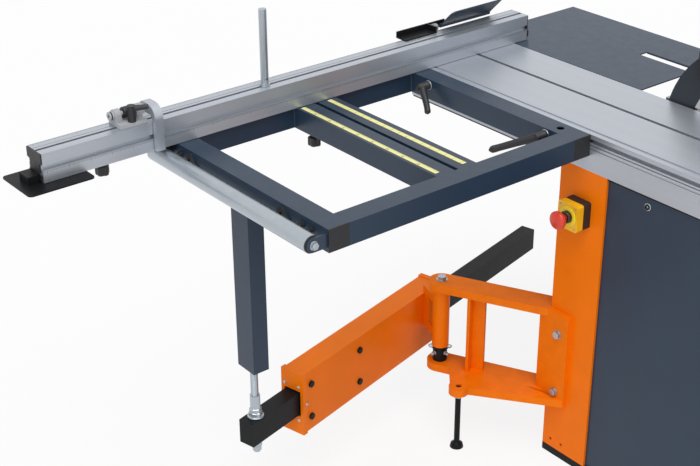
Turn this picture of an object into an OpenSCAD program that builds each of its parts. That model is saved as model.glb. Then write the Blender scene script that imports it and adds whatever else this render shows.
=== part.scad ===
// Sliding table saw with outrigger, crosscut fence and swinging support arm.
// Origin: on the floor, in the middle of the cabinet's four floor bolts.
// +X points from the sliding table to the saw table, +Y the way the wood is pushed, +Z up.

/* [Cabinet] */
// Height of the table tops above the floor
table_h = 870; // [860:1:890]
// Width of the cabinet, from the sliding table's outer edge
cab_w = 640; // [635:1:680]
// Depth of the cabinet
cab_d = 720; // [716:1:760]
// Sheet thickness of the cabinet and its door
cab_sheet = 2.5; // [2:0.5:4]
// How far the cabinet's left wall stands back behind the column's face
cab_inset = 6; // [3:1:10]
// Height of the black plinth
plinth_h = 20; // [15:1:30]
// Width of the plinth's frame, all round
plinth_w = 66; // [60:1:80]
// Floor bolt hole diameter
bolt_hole_d = 14; // [10:1:16]
// Floor bolts' distance from the cabinet's outer faces
bolt_inset = 40; // [30:1:45]
// Front to back size of the corner column
col_d = 136; // [120:1:150]
// Side to side size of the corner column
col_t = 60; // [50:1:80]
// Wall of the corner column
col_wall = 4; // [3:0.5:6]
// Width of the door opening
door_w = 500; // [400:5:520]
// Height of the door opening
door_h = 480; // [360:5:500]
// Height of the door opening's lower edge
door_z = 150; // [110:5:180]
// How far the door overlaps its opening, all round
door_lap = 20; // [10:1:25]
// Outer diameter of the dust outlet
dust_d = 100; // [80:1:120]
// Length of the dust outlet
dust_len = 40; // [30:1:60]
// Height of the dust outlet's middle
dust_z = 115; // [90:5:130]

/* [Sliding table] */
// Width of the sliding table
slide_w = 284; // [276:1:300]
// Length of the sliding table and of its rail
slide_len = 1600; // [1560:10:2000]
// Thickness of the sliding table
slide_t = 24; // [22:1:25]
// Thickness of the sliding table at its edge beside the blade
slide_edge_t = 4; // [3:0.5:5]
// Width of the thin edge beside the blade
slide_edge_w = 49; // [46:1:54]
// Width of the rail under the sliding table
rail_w = 185; // [160:1:190]
// Height of the rail
rail_h = 60; // [56:1:60]
// Gap between rail and sliding table
slide_gap = 2; // [1.8:0.1:2.4]
// Ball diameter in the linear guide
ball_d = 8; // [7:0.5:9]
// Length of the ball cage
cage_len = 800; // [600:50:900]
// Wall thickness of the aluminium profiles
alu_wall = 3; // [2.5:0.5:3.5]
// Width of a T-slot's mouth
slot_w = 10; // [8:1:11]

/* [Saw table] */
// Width of the saw table
table_w = 321; // [300:1:330]
// Front to back size of the saw table
table_d = 802; // [780:1:820]
// Thickness of the saw table's plate
table_t = 9; // [8:1:10]
// Height of the saw table's ribs, with the plate
table_rib_h = 40; // [34:1:45]
// Thickness of the saw table's ribs
table_rib_t = 12; // [8:1:14]
// Width of the extension table on the right
ext_w = 512; // [400:5:600]
// Sheet thickness of the extension tables
ext_sheet = 3; // [2:0.5:4]
// Front to back size of the outfeed plate
out_plate_d = 528; // [500:1:560]
// Gap between saw table and outfeed plate
out_plate_gap = 67; // [60:1:80]
// Length of the rip fence
rip_len = 800; // [700:10:820]
// Height of the rip fence
rip_h = 60; // [45:1:70]
// Thickness of the rip fence
rip_t = 20; // [16:1:30]
// Diameter of the rip fence's guide bar
rip_bar_d = 40; // [30:1:45]
// Rip fence's distance from the blade
rip_set = 405; // [390:1:450]

/* [Saw unit] */
// Diameter of the saw blade
blade_d = 315; // [300:1:315]
// Thickness of the saw blade
blade_t = 3.2; // [2.8:0.1:3.4]
// Number of teeth on the saw blade
blade_teeth = 36; // [24:1:48]
// Diameter of the arbor in the blade
arbor_d = 30; // [25:1:32]
// Height of the blade above the table, fully raised
blade_up = 102; // [95:1:104]
// Gap between sliding table and the middle of the blade
blade_gap = 9; // [9:0.5:11]
// Gap between the middle of the blade and the saw table
table_gap = 4; // [3.5:0.5:6]
// Distance from the cabinet's middle back to the blade's centre
blade_y = 80; // [76:1:84]
// Gap between the blade's teeth and the riving knife
knife_gap = 8.5; // [6:0.5:9]
// Width of the riving knife
knife_w = 69; // [60:1:70]
// Thickness of the riving knife
knife_t = 2.8; // [2.4:0.1:3]
// Outer width of the blade guard
guard_w = 26; // [24:0.5:28]
// Height of the blade guard
guard_h = 66; // [60:1:76]
// Height of the guard's lower edge above the table
guard_z = 84; // [82:1:90]
// Mean radius of the tilt slots about the tilt axis
tilt_r = 160; // [155:1:165]
// Diameter of the pins in the tilt slots
tilt_pin_d = 16; // [12:1:18]
// Diameter of the lift columns
lift_col_d = 24; // [20:1:26]
// Diameter of the motor
motor_d = 144; // [130:1:150]
// Length of the motor
motor_len = 150; // [130:1:155]
// Distance from the arbor down to the motor's shaft
motor_drop = 185; // [180:1:190]
// Diameter of the motor pulley
motor_pulley_d = 76; // [70:1:80]
// Diameter of the arbor pulley
arbor_pulley_d = 56; // [50:1:60]
// Width of the drive belt
belt_w = 22; // [18:1:24]
// Thickness of the drive belt
belt_t = 5; // [4:0.5:6]
// Diameter of the handwheels
wheel_d = 160; // [130:5:180]
// Height of the handwheels' shafts
wheel_z = 600; // [560:5:640]

/* [Outrigger] */
// Length of the outrigger, away from the sliding table
frame_w = 720; // [700:1:760]
// Front to back size of the outrigger
frame_d = 585; // [580:1:600]
// Distance from the cabinet's middle back to the outrigger's front
frame_y = 280; // [270:1:285]
// Outer size of the square tubes
tube = 50; // [45:1:50]
// Wall of the square tubes
tube_wall = 3; // [2:0.5:4]
// Distance from the outrigger's inner end to the slot between its middle beams
beam_x = 348; // [330:1:370]
// Width of the slot between the middle beams
beam_slot = 10; // [9:0.5:14]
// Thickness of the tube caps
cap_t = 3; // [2:0.5:4]
// Diameter of the fence pivot holes
pivot_hole_d = 18; // [14:1:20]
// Distance from the front to the front pivot hole
pivot_front = 67; // [64:1:80]
// Diameter of the support roller
roller_d = 38; // [34:1:40]
// Wall of the support roller
roller_wall = 3; // [2:0.5:4]
// Diameter of the roller's axle
axle_d = 10; // [8:1:12]
// Gap between frame and support roller
roller_gap = 13; // [11:1:16]
// Length of a clamp lever
lever_len = 112; // [90:1:116]

/* [Fence] */
// Length of the fence profile
fence_len = 1366; // [1320:1:1400]
// Length of the fence past its pivot, over the saw table
fence_past = 352; // [340:1:360]
// Height of the fence profile
fence_h = 64; // [60:1:70]
// Front to back size of the fence profile
fence_d = 60; // [58:1:64]
// Gap between the fence and the tables
fence_gap = 1; // [0.8:0.1:1.5]
// Length of the telescoping bar inside the fence
bar_len = 670; // [600:10:720]
// Width of the telescoping bar
bar_w = 38; // [34:1:40]
// Height of the telescoping bar
bar_h = 13; // [11:0.5:14]
// Diameter of the upright clamp rod
rod_d = 18; // [16:1:20]
// Height of the upright clamp rod above the fence
rod_h = 178; // [150:1:220]
// Distance from the fence's left end to the clamp rod
rod_x = 567; // [540:1:620]
// Distance from the fence's left end to the flip stop
stop_x = 187; // [172:1:200]
// Width of the flip stop's arm
stop_w = 20; // [16:1:24]
// Thickness of the flip stop's arm
stop_t = 11.5; // [9:0.5:12]
// Length of the flap behind the fence
flap_len = 166; // [150:1:170]
// Width of the flap from its axle to its free edge
flap_d = 64; // [50:1:68]
// Diameter of the flap's axle
flap_axle_d = 5; // [4:0.5:6]

/* [Support arm] */
// Angle of the support arm from the cabinet's side
arm_angle = 13.7; // [12:0.1:15]
// Distance from the column's face out to the arm's pivot
pivot_out = 112; // [108:1:116]
// Distance from the column's back to the arm's pivot
pivot_back = 261; // [256:1:266]
// Height of the bracket's upper arm
bracket_top = 404; // [400:1:410]
// Thickness of the bracket's arms
bracket_t = 20; // [16:1:22]
// Height of the bracket's lower arm
bracket_low = 178; // [172:1:180]
// Diameter of the arm's hinge pin
hinge_pin_d = 20; // [16:1:22]
// Diameter of the arm's hinge barrel
barrel_d = 42; // [38:1:44]
// Height of the black collar below the hinge barrel
collar_h = 42; // [30:1:46]
// Distance between the hinge pin and the arm's middle line
arm_offset = 108; // [104:1:112]
// Length of the arm's housing past the hinge, outwards
arm_out = 446; // [430:1:450]
// Length of the arm's housing past the hinge, inwards
arm_in = 115; // [100:1:118]
// Width of the arm's housing
arm_w = 60; // [58:1:64]
// Height of the arm's housing
arm_h = 160; // [156:1:164]
// Wall of the arm's housing
arm_wall = 5; // [4:0.5:6]
// Clearance round the telescoping tube in the housing's end plate
arm_window = 4; // [1:0.5:4.5]
// Height of the telescoping tube's middle
arm_z = 243; // [240:1:246]
// Length of the telescoping tube
tele_len = 1200; // [1150:10:1250]
// Width of the telescoping tube and of the post
tele_w = 40; // [36:1:42]
// Height of the telescoping tube, and depth of the post
tele_h = 60; // [56:1:62]
// Wall of the telescoping tube and of the post
tele_wall = 3; // [2:0.5:4]
// Distance along the arm from the hinge to the post
post_reach = 574; // [568:1:580]
// Diameter of the post's threaded rod
post_rod_d = 16; // [14:1:18]
// Visible length of the post's threaded rod
post_rod_len = 130; // [110:1:150]
// Diameter of the levelling foot's rod
foot_rod_d = 14; // [12:1:16]
// Diameter of the levelling foot
foot_d = 34; // [30:1:40]
// Emergency stop's base, across
estop_w = 60; // [54:1:66]
// Emergency stop's base, up and down
estop_h = 64; // [58:1:72]
// Depth of the emergency stop's box
estop_t = 42; // [36:1:46]
// Depth of the black back part of the emergency stop's box
estop_back = 24; // [18:1:28]
// Diameter of the emergency stop's button
estop_btn_d = 43; // [36:1:46]

/* [Hidden] */
$fn = 48;

// Running gap between pieces that move past each other
gap = 0.4;
// Radial clearance of a pin or shaft that turns in a bore
fit = 0.06;
// Small overlap that makes cuts go right through
eps = 1;

x0 = -cab_w / 2;
x1 = cab_w / 2;
y0 = -cab_d / 2;
y1 = cab_d / 2;
top = table_h;

rail_top = top - slide_t - slide_gap;
rail_z = rail_top - rail_h;
cab_top = rail_z;
slide_y = blade_y - 10 - slide_len / 2;
guide_x = [x0 + 50, x0 + rail_w - 50];
groove = ball_d + 2 * gap + 0.6;
cage_n = 12;

blade_x = x0 + slide_w + blade_gap;
blade_z = top + blade_up - blade_d / 2;
table_x = blade_x + table_gap;
table_y = y1 - 38 - table_d;
table_back = table_y + table_d;
ext_x = table_x + table_w + 0.5;
flange_d = 60;
knife_r1 = blade_d / 2 + knife_gap;
knife_r2 = knife_r1 + knife_w;

frame_x1 = x0 - gap;
frame_x0 = x0 - frame_w;
beam_mid = x0 - beam_x;
rear_tube_y = frame_y + frame_d - tube;
roller_x = frame_x0 - roller_gap - roller_d / 2;
roller_z = top - roller_d / 2 - 6;
ear_t = 5;
roller_y1 = frame_y + cap_t + ear_t + 4;
roller_y2 = frame_y + frame_d - 13;

fence_y = frame_y + frame_d - fence_d - 0.5;
fence_z = top + fence_gap;
fence_top = fence_z + fence_h;
fence_mid = fence_y + fence_d / 2;
pivot_x = x0 - tube / 2;
pivot_y = fence_mid;
fence_x1 = pivot_x + fence_past;
fence_x0 = fence_x1 - fence_len;
top_slot_y = fence_y + fence_d * 0.42;
bar_mid = fence_mid;
bar_z = fence_z + 4;
ext_knob_x = fence_x0 + 147;

hinge_x = x0 - pivot_out;
hinge_y = y1 + pivot_back;
foot_x = hinge_x - 48;
foot_y = hinge_y - 122;
tele_in = tele_len - post_reach - 33;
post_top = top - tube - 0.5;
post_z = arm_z + tele_h / 2 + post_rod_len;
roll_d = 28;
roll_s = [arm_out - 31, arm_out - 215];

estop_y = y1 - col_d + 69;
estop_z = top - 190;
estop_stem = 9;
switch_x = x0 + 350;
switch_y = y0;
switch_z = wheel_z + 130;

pulley_x = blade_x + 134;
motor_z = blade_z - motor_drop;
motor_x = pulley_x + belt_w + 8;
front_shoe = blade_y - blade_d / 2 - 30;
rear_shoe = blade_y + knife_r2 + 10;
shoe_t = 12;
col_x = blade_x + 79;
col_y = [blade_y - 75, blade_y + 75];

bar_y = table_y - rip_bar_d / 2 - 22;
bar_height = top - 50;
rip_x = blade_x + rip_set;

module box(a, b) translate(a) cube(b - a);
module xcyl(r, xa, xb, y, z) translate([xa, y, z]) rotate([0, 90, 0]) cylinder(r = r, h = xb - xa);
module ycyl(r, ya, yb, x, z) translate([x, yb, z]) rotate([90, 0, 0]) cylinder(r = r, h = yb - ya);
module zcyl(r, za, zb, x, y) translate([x, y, za]) cylinder(r = r, h = zb - za);
module xhex(r, xa, xb, y, z) translate([xa, y, z]) rotate([0, 90, 0]) cylinder(r = r, h = xb - xa, $fn = 6);
module yhex(r, ya, yb, x, z) translate([x, yb, z]) rotate([90, 0, 0]) cylinder(r = r, h = yb - ya, $fn = 6);
module zhex(r, za, zb, x, y) translate([x, y, za]) cylinder(r = r, h = zb - za, $fn = 6);
// A flat shape drawn in the X and Z directions, as thick as ya to yb
module upright_xz(ya, yb) translate([0, yb, 0]) rotate([90, 0, 0]) linear_extrude(yb - ya) children();
// A flat shape drawn in the Y and Z directions, as thick as xa to xb
module upright_yz(xa, xb) translate([xa, 0, 0]) rotate([90, 0, 90]) linear_extrude(xb - xa) children();
// A rectangle with round corners, centred
module round_rect(w, h, r) union() {
    square([w, h - 2 * r], center = true);
    square([w - 2 * r, h], center = true);
    for (x = [-1, 1], y = [-1, 1]) translate([x * (w / 2 - r), y * (h / 2 - r)]) circle(r = r);
}
module ring_sector(r1, r2, a1, a2, t)
    rotate([0, 0, a1]) rotate_extrude(angle = a2 - a1, $fn = 128) translate([r1, 0]) square([r2 - r1, t]);
// A band of a ring about the tilt axis, drawn in the X and Z directions
module tilt_band(r1, r2, a1, a2) translate([blade_x, top]) intersection() {
    difference() {
        circle(r = r2, $fn = 128);
        circle(r = r1, $fn = 128);
    }
    polygon([[0, 0], for (a = [a1, (a1 + a2) / 2, a2]) 2 * r2 * [cos(a), sin(a)]]);
}
module on_arm(s, p)
    translate([hinge_x, hinge_y, 0]) rotate([0, 0, 180 + arm_angle]) translate([s, p, 0]) children();

// Cabinet and what is fixed to it

module cabinet() color([0.20, 0.25, 0.31]) difference() {
    union() {
        difference() {
            box([x0 + cab_inset, y0, plinth_h], [x1, y1, cab_top]);
            box([x0 + cab_inset + cab_sheet, y0 + cab_sheet, plinth_h - eps],
                [x1 - cab_sheet, y1 - col_d - cab_sheet, cab_top + eps]);
            box([x0 + col_t + cab_sheet, y0 + cab_sheet, plinth_h - eps],
                [x1 - cab_sheet, y1 - cab_sheet, cab_top + eps]);
            box([x0 - eps, y1 - col_d, plinth_h - eps], [x0 + col_t, y1 + eps, cab_top + eps]);
        }
        ycyl(dust_d / 2, y1 - eps, y1 + dust_len, x1 / 3, dust_z);
        // Bearing bosses behind the handwheels
        for (x = wheel_x) ycyl(16, y0 + cab_sheet - eps, y0 + 30, x, wheel_z);
        // Fixed leaves of the door hinge
        for (z = hinge_z) door_knuckle(z - 30 - gap, z - gap, 0);
    }
    box([x1 - cab_sheet - eps, -door_w / 2, door_z], [x1 + eps, door_w / 2, door_z + door_h]);
    ycyl(dust_d / 2 - 3, y1 - cab_sheet - eps, y1 + dust_len + eps, x1 / 3, dust_z);
    for (x = wheel_x) ycyl(7 + fit, y0 - eps, y0 + 30 + eps, x, wheel_z);
    // Screw hole in the left wall
    xcyl(5, x0 - eps, x0 + cab_inset + cab_sheet + eps, y1 - 248, top - 113);
}

wheel_x = [x0 + 210, x0 + 490];
hinge_z = [door_z + 60, door_z + door_h - 60];
door_axis_x = x1 + 9;
door_axis_y = door_w / 2 + door_lap + 12;

// One knuckle of the door hinge with its leaf: side 0 is the cabinet's, side 1 the door's
module door_knuckle(za, zb, side) {
    difference() {
        union() {
            zcyl(6, za, zb, door_axis_x, door_axis_y);
            if (side == 0) box([x1 - eps / 2, door_axis_y - 2, za], [door_axis_x, door_axis_y + 5, zb]);
            else box([door_axis_x - 5.6, door_axis_y - 16, za], [door_axis_x - 2, door_axis_y, zb]);
        }
        if (side == 1) zcyl(2.5 + fit, za - eps, zb + eps, door_axis_x, door_axis_y);
    }
    if (side == 0) zcyl(2.5, za, zb + 30, door_axis_x, door_axis_y);
}

module side_door() color([0.20, 0.25, 0.31]) {
    box([x1 + gap, -door_w / 2 - door_lap, door_z - door_lap],
        [x1 + gap + cab_sheet + 1, door_w / 2 + door_lap, door_z + door_h + door_lap]);
    // Folded rim that stands into the opening
    difference() {
        box([x1 - 18, -door_w / 2 + 3, door_z + 3],
            [x1 + gap + eps, door_w / 2 - 8, door_z + door_h - 3]);
        box([x1 - 18 - eps, -door_w / 2 + 5, door_z + 5],
            [x1 + gap, door_w / 2 - 10, door_z + door_h - 5]);
    }
    // Round pull
    xcyl(12, x1 + gap + cab_sheet, x1 + gap + cab_sheet + 19, -door_w / 2 + 40, door_z + door_h / 2);
    for (z = hinge_z) door_knuckle(z, z + 30, 1);
    for (z = hinge_z) box([x1 + gap, door_w / 2 + door_lap - eps, z],
        [x1 + gap + cab_sheet + 1, door_axis_y - 6 - gap, z + 30]);
}

module column() color([0.90, 0.42, 0.06]) difference() {
    box([x0, y1 - col_d, plinth_h], [x0 + col_t, y1, cab_top]);
    box([x0 + col_wall, y1 - col_d + col_wall, plinth_h - eps],
        [x0 + col_t - col_wall, y1 - col_wall, cab_top + eps]);
    for (y = [25, 60]) xcyl(4, x0 - eps, x0 + col_wall + eps, y1 - y, plinth_h + 21);
}

module plinth() color([0.10, 0.10, 0.11]) difference() {
    box([x0, y0, 0], [x1, y1, plinth_h]);
    box([x0 + plinth_w, y0 + plinth_w, -eps], [x1 - plinth_w, y1 - plinth_w, plinth_h + eps]);
    for (x = [x0 + bolt_inset, x1 - bolt_inset], y = [y0 + bolt_inset, y1 - bolt_inset])
        zcyl(bolt_hole_d / 2, -eps, plinth_h + eps, x, y);
}

module slide_rail() color([0.74, 0.75, 0.77]) translate([x0, slide_y, rail_z]) difference() {
    cube([rail_w, slide_len, rail_h]);
    for (i = [0, 1]) translate([alu_wall + i * (rail_w - alu_wall) / 2, -eps, alu_wall])
        cube([(rail_w - 3 * alu_wall) / 2, slide_len + 2 * eps, rail_h - alu_wall - groove / 2 - alu_wall]);
    for (x = guide_x) translate([x - x0 - groove / 2, -eps, rail_h - groove / 2 + slide_gap / 2])
        cube([groove, slide_len + 2 * eps, groove]);
    // Shallow groove along the outer face
    translate([-eps, -eps, rail_h - 9]) cube([eps + 2, slide_len + 2 * eps, 3]);
}

module carriage() color([0.76, 0.77, 0.79]) translate([x0, slide_y + cap_t, top])
    rotate([90, 0, 180]) mirror([1, 0, 0]) linear_extrude(slide_len - 2 * cap_t) carriage_outline();

module carriage_outline() {
    full = slide_w - slide_edge_w;
    difference() {
        polygon([[0, 0], [0, -slide_t], [full, -slide_t], [slide_w, -slide_edge_t], [slide_w, 0]]);
        // Clamp slot in the outer flank
        translate([-eps, -19.5]) square([eps + 5, 9]);
        translate([4, -21]) square([8, 12]);
        // Shallow groove just inside the outer edge
        translate([13, -2.5]) square([8, 2.5 + eps]);
        // T-slot in the top
        translate([159 - slot_w / 2, -6]) square([slot_w, 6 + eps]);
        translate([159 - slot_w, -13]) square([2 * slot_w, 8]);
        // Ball grooves in the underside
        for (x = guide_x) translate([x - x0 - groove / 2, -slide_t - eps])
            square([groove, eps + groove / 2 - slide_gap / 2]);
        // Hollow chambers
        for (c = [[22, 38], [62, 78], [82, 110], [114, 128], [184, 230]])
            translate([c[0], -slide_t + 4]) square([c[1] - c[0], slide_t - 8]);
    }
}

module carriage_caps() color([0.10, 0.10, 0.11])
    for (y = [slide_y, slide_y + slide_len - cap_t]) upright_xz(y, y + cap_t)
        translate([x0, top]) polygon([[0, -0.5], [0, -slide_t], [slide_w - slide_edge_w, -slide_t],
            [slide_w, -slide_edge_t], [slide_w, -0.5]]);

module ball_cage() color([0.55, 0.56, 0.58]) {
    mid_z = rail_top + slide_gap / 2;
    cage_y = slide_y + (slide_len - cage_len) / 2;
    pitch = (cage_len - 40) / (cage_n - 1);
    for (x = guide_x) {
        box([x - 9, cage_y, mid_z - 0.5], [x + 9, cage_y + cage_len, mid_z + 0.5]);
        for (i = [0 : cage_n - 1])
            translate([x, cage_y + 20 + i * pitch, mid_z]) sphere(d = ball_d, $fn = 32);
    }
    for (y = [cage_y, cage_y + cage_len - 12])
        box([guide_x[0] + 9, y, mid_z - 0.5], [guide_x[1] - 9, y + 12, mid_z + 0.5]);
}

// Tables on the right of the blade

module main_table() color([0.42, 0.44, 0.46]) difference() {
    box([table_x, table_y, top - table_rib_h], [table_x + table_w, table_back, top - 0.5]);
    box([table_x + table_rib_t, table_y + table_rib_t, top - table_rib_h - eps],
        [table_x + table_w - table_rib_t, table_back - table_rib_t, top - 0.5 - table_t]);
    // The rib beside the blade and the knife is left out
    box([table_x - eps, blade_y - blade_d / 2 - 40, top - table_rib_h - eps],
        [table_x + table_rib_t + eps, table_back + eps, top - 0.5 - table_t]);
    box([table_x - eps, table_back - table_rib_t - eps, top - table_rib_h - eps],
        [table_x + 50, table_back + eps, top - 0.5 - table_t]);
}

module outfeed_plate() color([0.30, 0.34, 0.39]) {
    px = blade_x - 5.4;
    py = table_back + out_plate_gap;
    pz = top - 0.5;
    slot_a = px + 180;
    difference() {
        box([px, py, pz - ext_sheet], [ext_x - 0.5, py + out_plate_d, pz]);
        box([slot_a, py - eps, pz - ext_sheet - eps], [slot_a + 29, py + 162, pz + eps]);
    }
    // Folded edges and the two bars that carry the plate on the saw table
    box([slot_a + 29, py, pz - ext_sheet - 2], [slot_a + 29 + ext_sheet, py + 162, pz - ext_sheet]);
    for (x = [ext_x - 90, ext_x - 30]) box([x, table_back, pz - ext_sheet - 14],
        [x + 20, py + out_plate_d - 60, pz - ext_sheet]);
}

module right_table() color([0.30, 0.34, 0.39]) {
    pz = top - 0.5;
    difference() {
        box([ext_x, table_y, pz - 35], [ext_x + ext_w, table_back, pz]);
        box([ext_x + ext_sheet, table_y + ext_sheet, pz - 35 - eps],
            [ext_x + ext_w - ext_sheet, table_back - ext_sheet, pz - ext_sheet]);
    }
    // Struts from the cabinet to the extension table
    for (y = [y0 + 20, y1 - 80]) upright_xz(y, y + 30) polygon([[x1, cab_top - 80], [x1, cab_top - 45],
        [ext_x + ext_w * 0.7 - 30, pz - ext_sheet], [ext_x + ext_w * 0.7 + 10, pz - ext_sheet]]);
}

module rip_rail() color([0.80, 0.81, 0.83]) {
    ra = table_x + 20;
    rb = ext_x + ext_w - 10;
    xcyl(rip_bar_d / 2, ra, rb, bar_y, bar_height);
    for (x = [ra + 30, (ra + rb) / 2, rb - 50]) difference() {
        box([x, bar_y, bar_height - 12], [x + 20, table_y, bar_height + 12]);
        xcyl(rip_bar_d / 2, x - eps, x + 20 + eps, bar_y, bar_height);
    }
    for (x = [ra + 30, (ra + rb) / 2, rb - 50])
        box([x, table_y - 8, bar_height - 12], [x + 20, table_y, top - 6]);
}

// Rip fence

module rip_slide() color([0.18, 0.19, 0.21]) difference() {
    union() {
        box([rip_x + gap, bar_y - 34, bar_height - 8], [rip_x + 90, bar_y + 26, top + 26]);
        box([rip_x + rip_t + gap, bar_y + 26 - eps, top + gap], [rip_x + 60, table_y + 190, top + 26]);
    }
    xcyl(rip_bar_d / 2 + gap, rip_x - eps, rip_x + 90 + eps, bar_y, bar_height);
    box([rip_x - eps, bar_y - rip_bar_d / 2 - gap, bar_height - 8 - eps],
        [rip_x + 90 + eps, bar_y + rip_bar_d / 2 + gap, bar_height]);
    box([rip_x - eps, bar_y + rip_bar_d / 2 - 8, bar_height - 8 - eps],
        [rip_x + 90 + eps, bar_y + 40, top + gap]);
    // Clearance for the fence profile
    box([rip_x - eps, bar_y + 4, top - 4], [rip_x + rip_t + gap, table_y + 200, top + 40]);
    ycyl(6 + fit, bar_y - 40, bar_y - 10, rip_x + 60, top - 4);
}

module rip_profile() color([0.76, 0.77, 0.79]) {
    ya = table_y + 6;
    difference() {
        box([rip_x, ya, top + gap], [rip_x + rip_t, ya + rip_len, top + gap + rip_h]);
        box([rip_x + alu_wall, ya - eps, top + gap + 30],
            [rip_x + rip_t - alu_wall, ya + rip_len + eps, top + gap + rip_h - alu_wall]);
        box([rip_x + rip_t - 6, ya - eps, top + gap + 8],
            [rip_x + rip_t + eps, ya + rip_len + eps, top + gap + 16]);
    }
}

module rip_lever() color([0.10, 0.10, 0.11]) {
    ycyl(6, bar_y - 44, bar_y - 12, rip_x + 60, top - 4);
    ycyl(13, bar_y - 62, bar_y - 34 - gap, rip_x + 60, top - 4);
    translate([rip_x + 60, bar_y - 52, top - 4]) rotate([20, 90, 0]) {
        cylinder(r1 = 8, r2 = 6.5, h = 95);
        translate([0, 0, 95]) sphere(r = 9);
    }
}

// Column fittings

module estop_base() color([0.07, 0.07, 0.08]) difference() {
    translate([x0, estop_y, estop_z]) rotate([0, -90, 0]) linear_extrude(estop_back)
        round_rect(estop_h, estop_w, 6);
    xcyl(estop_stem + gap, x0 - estop_back - eps, x0 - 6, estop_y, estop_z);
}

module estop_cover() {
    xa = x0 - estop_t;
    color([0.96, 0.70, 0.04]) difference() {
        translate([x0 - estop_back, estop_y, estop_z]) rotate([0, -90, 0])
            linear_extrude(estop_t - estop_back) round_rect(estop_h, estop_w, 6);
        xcyl(estop_stem + gap, xa - eps, x0, estop_y, estop_z);
        for (y = [-1, 1], z = [-1, 1])
            xcyl(3, xa - eps, xa + 4, estop_y + y * (estop_w / 2 - 8), estop_z + z * (estop_h / 2 - 8));
    }
    color([0.07, 0.07, 0.08]) difference() {
        xcyl(14, xa - 10, xa, estop_y, estop_z);
        xcyl(estop_stem + gap, xa - 10 - eps, xa + eps, estop_y, estop_z);
    }
}

module estop_button() color([0.82, 0.12, 0.10]) {
    xcyl(estop_stem, x0 - estop_t - 22, x0 - estop_t + 12, estop_y, estop_z);
    translate([x0 - estop_t - 21, estop_y, estop_z]) rotate([0, -90, 0]) rotate_extrude()
        polygon([[0, 0], [11, 0], [estop_btn_d / 2 - 2, 5], [estop_btn_d / 2, 8], [estop_btn_d / 2, 13],
            [estop_btn_d / 2 - 3, 17], [estop_btn_d / 2 - 10, 19], [0, 20]]);
}

module switch_box() color([0.12, 0.12, 0.13]) difference() {
    box([switch_x - 32, switch_y - 24, switch_z - 40], [switch_x + 32, switch_y, switch_z + 40]);
    box([switch_x - 12, switch_y - 24 - eps, switch_z - 20], [switch_x + 12, switch_y - 4, switch_z + 20]);
    xcyl(3, switch_x - 18, switch_x + 18, switch_y - 16, switch_z);
}

module switch_rocker() color([0.10, 0.45, 0.18]) {
    upright_yz(switch_x - 11, switch_x + 11) translate([switch_y - 16, switch_z])
        polygon([[4, -16], [-8, -17], [-11, -9], [-10, 0], [-13, 17], [4, 16]]);
    xcyl(3 - fit, switch_x - 17, switch_x + 17, switch_y - 16, switch_z);
}

// The bracket that carries the support arm

bracket_lip = 68;
bracket_base = [[x0 - 14, y1 - bracket_lip], [x0, y1 - bracket_lip], [x0, y1], [x0 + 45, y1],
    [x0 + 45, y1 + 22], [x0 - 14, y1 + 22]];
along = [x0 + 8 - hinge_x, y1 - 15 - hinge_y] / norm([x0 + 8 - hinge_x, y1 - 15 - hinge_y]);
across = [-along[1], along[0]];
tip_r = 32;

module bracket_plate(z) translate([0, 0, z]) linear_extrude(bracket_t) {
    polygon([[hinge_x, hinge_y] - across * tip_r, [x0 - 14, y1 - 3], [x0, y1 - 3], [x0, y1], [x0 + 45, y1],
        [x0 + 45, y1 + 22], [hinge_x, hinge_y] + across * tip_r]);
    translate([hinge_x, hinge_y]) circle(r = tip_r, $fn = 64);
}

module arm_bracket() color([0.90, 0.42, 0.06]) difference() {
    union() {
        bracket_plate(bracket_top - bracket_t);
        bracket_plate(bracket_low - bracket_t);
        translate([0, 0, bracket_low - bracket_t])
            linear_extrude(bracket_top - bracket_low + bracket_t) polygon(bracket_base);
        // Upright web between the two arms
        translate(concat([hinge_x, hinge_y] + along * 84, [bracket_low - eps / 2]))
            rotate([0, 0, atan2(along[1], along[0])]) {
                translate([-4, -26, 0]) cube([8, 52, bracket_top - bracket_t - bracket_low + eps]);
                translate([0, -5, 0]) cube([34, 10, bracket_top - bracket_t - bracket_low + eps]);
            }
        // Boss for the levelling foot, on a tapering web
        translate([0, 0, bracket_low - bracket_t]) linear_extrude(bracket_t) {
            translate([foot_x, foot_y]) circle(r = 24, $fn = 64);
            polygon([[foot_x - 7, foot_y + 22], [hinge_x, hinge_y] + along * 30 - across * 10,
                [hinge_x, hinge_y] + along * 190 - across * 10, [x0 - 10, y1 - bracket_lip + 2],
                [x0 - 13, y1 - bracket_lip + 2], [foot_x + 10, foot_y - 21]]);
        }
    }
    zcyl(hinge_pin_d / 2, bracket_low - bracket_t - eps, bracket_top + eps, hinge_x, hinge_y);
    zcyl(foot_rod_d / 2 + 0.3, bracket_low - bracket_t - eps, bracket_low + eps, foot_x, foot_y);
    for (z = bracket_bolt_z) xcyl(6, x0 - 14 - eps, x0 + eps, bracket_bolt_y, z);
}

bracket_bolt_y = y1 - 39;
bracket_bolt_z = [top - 678, top - 519];

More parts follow.
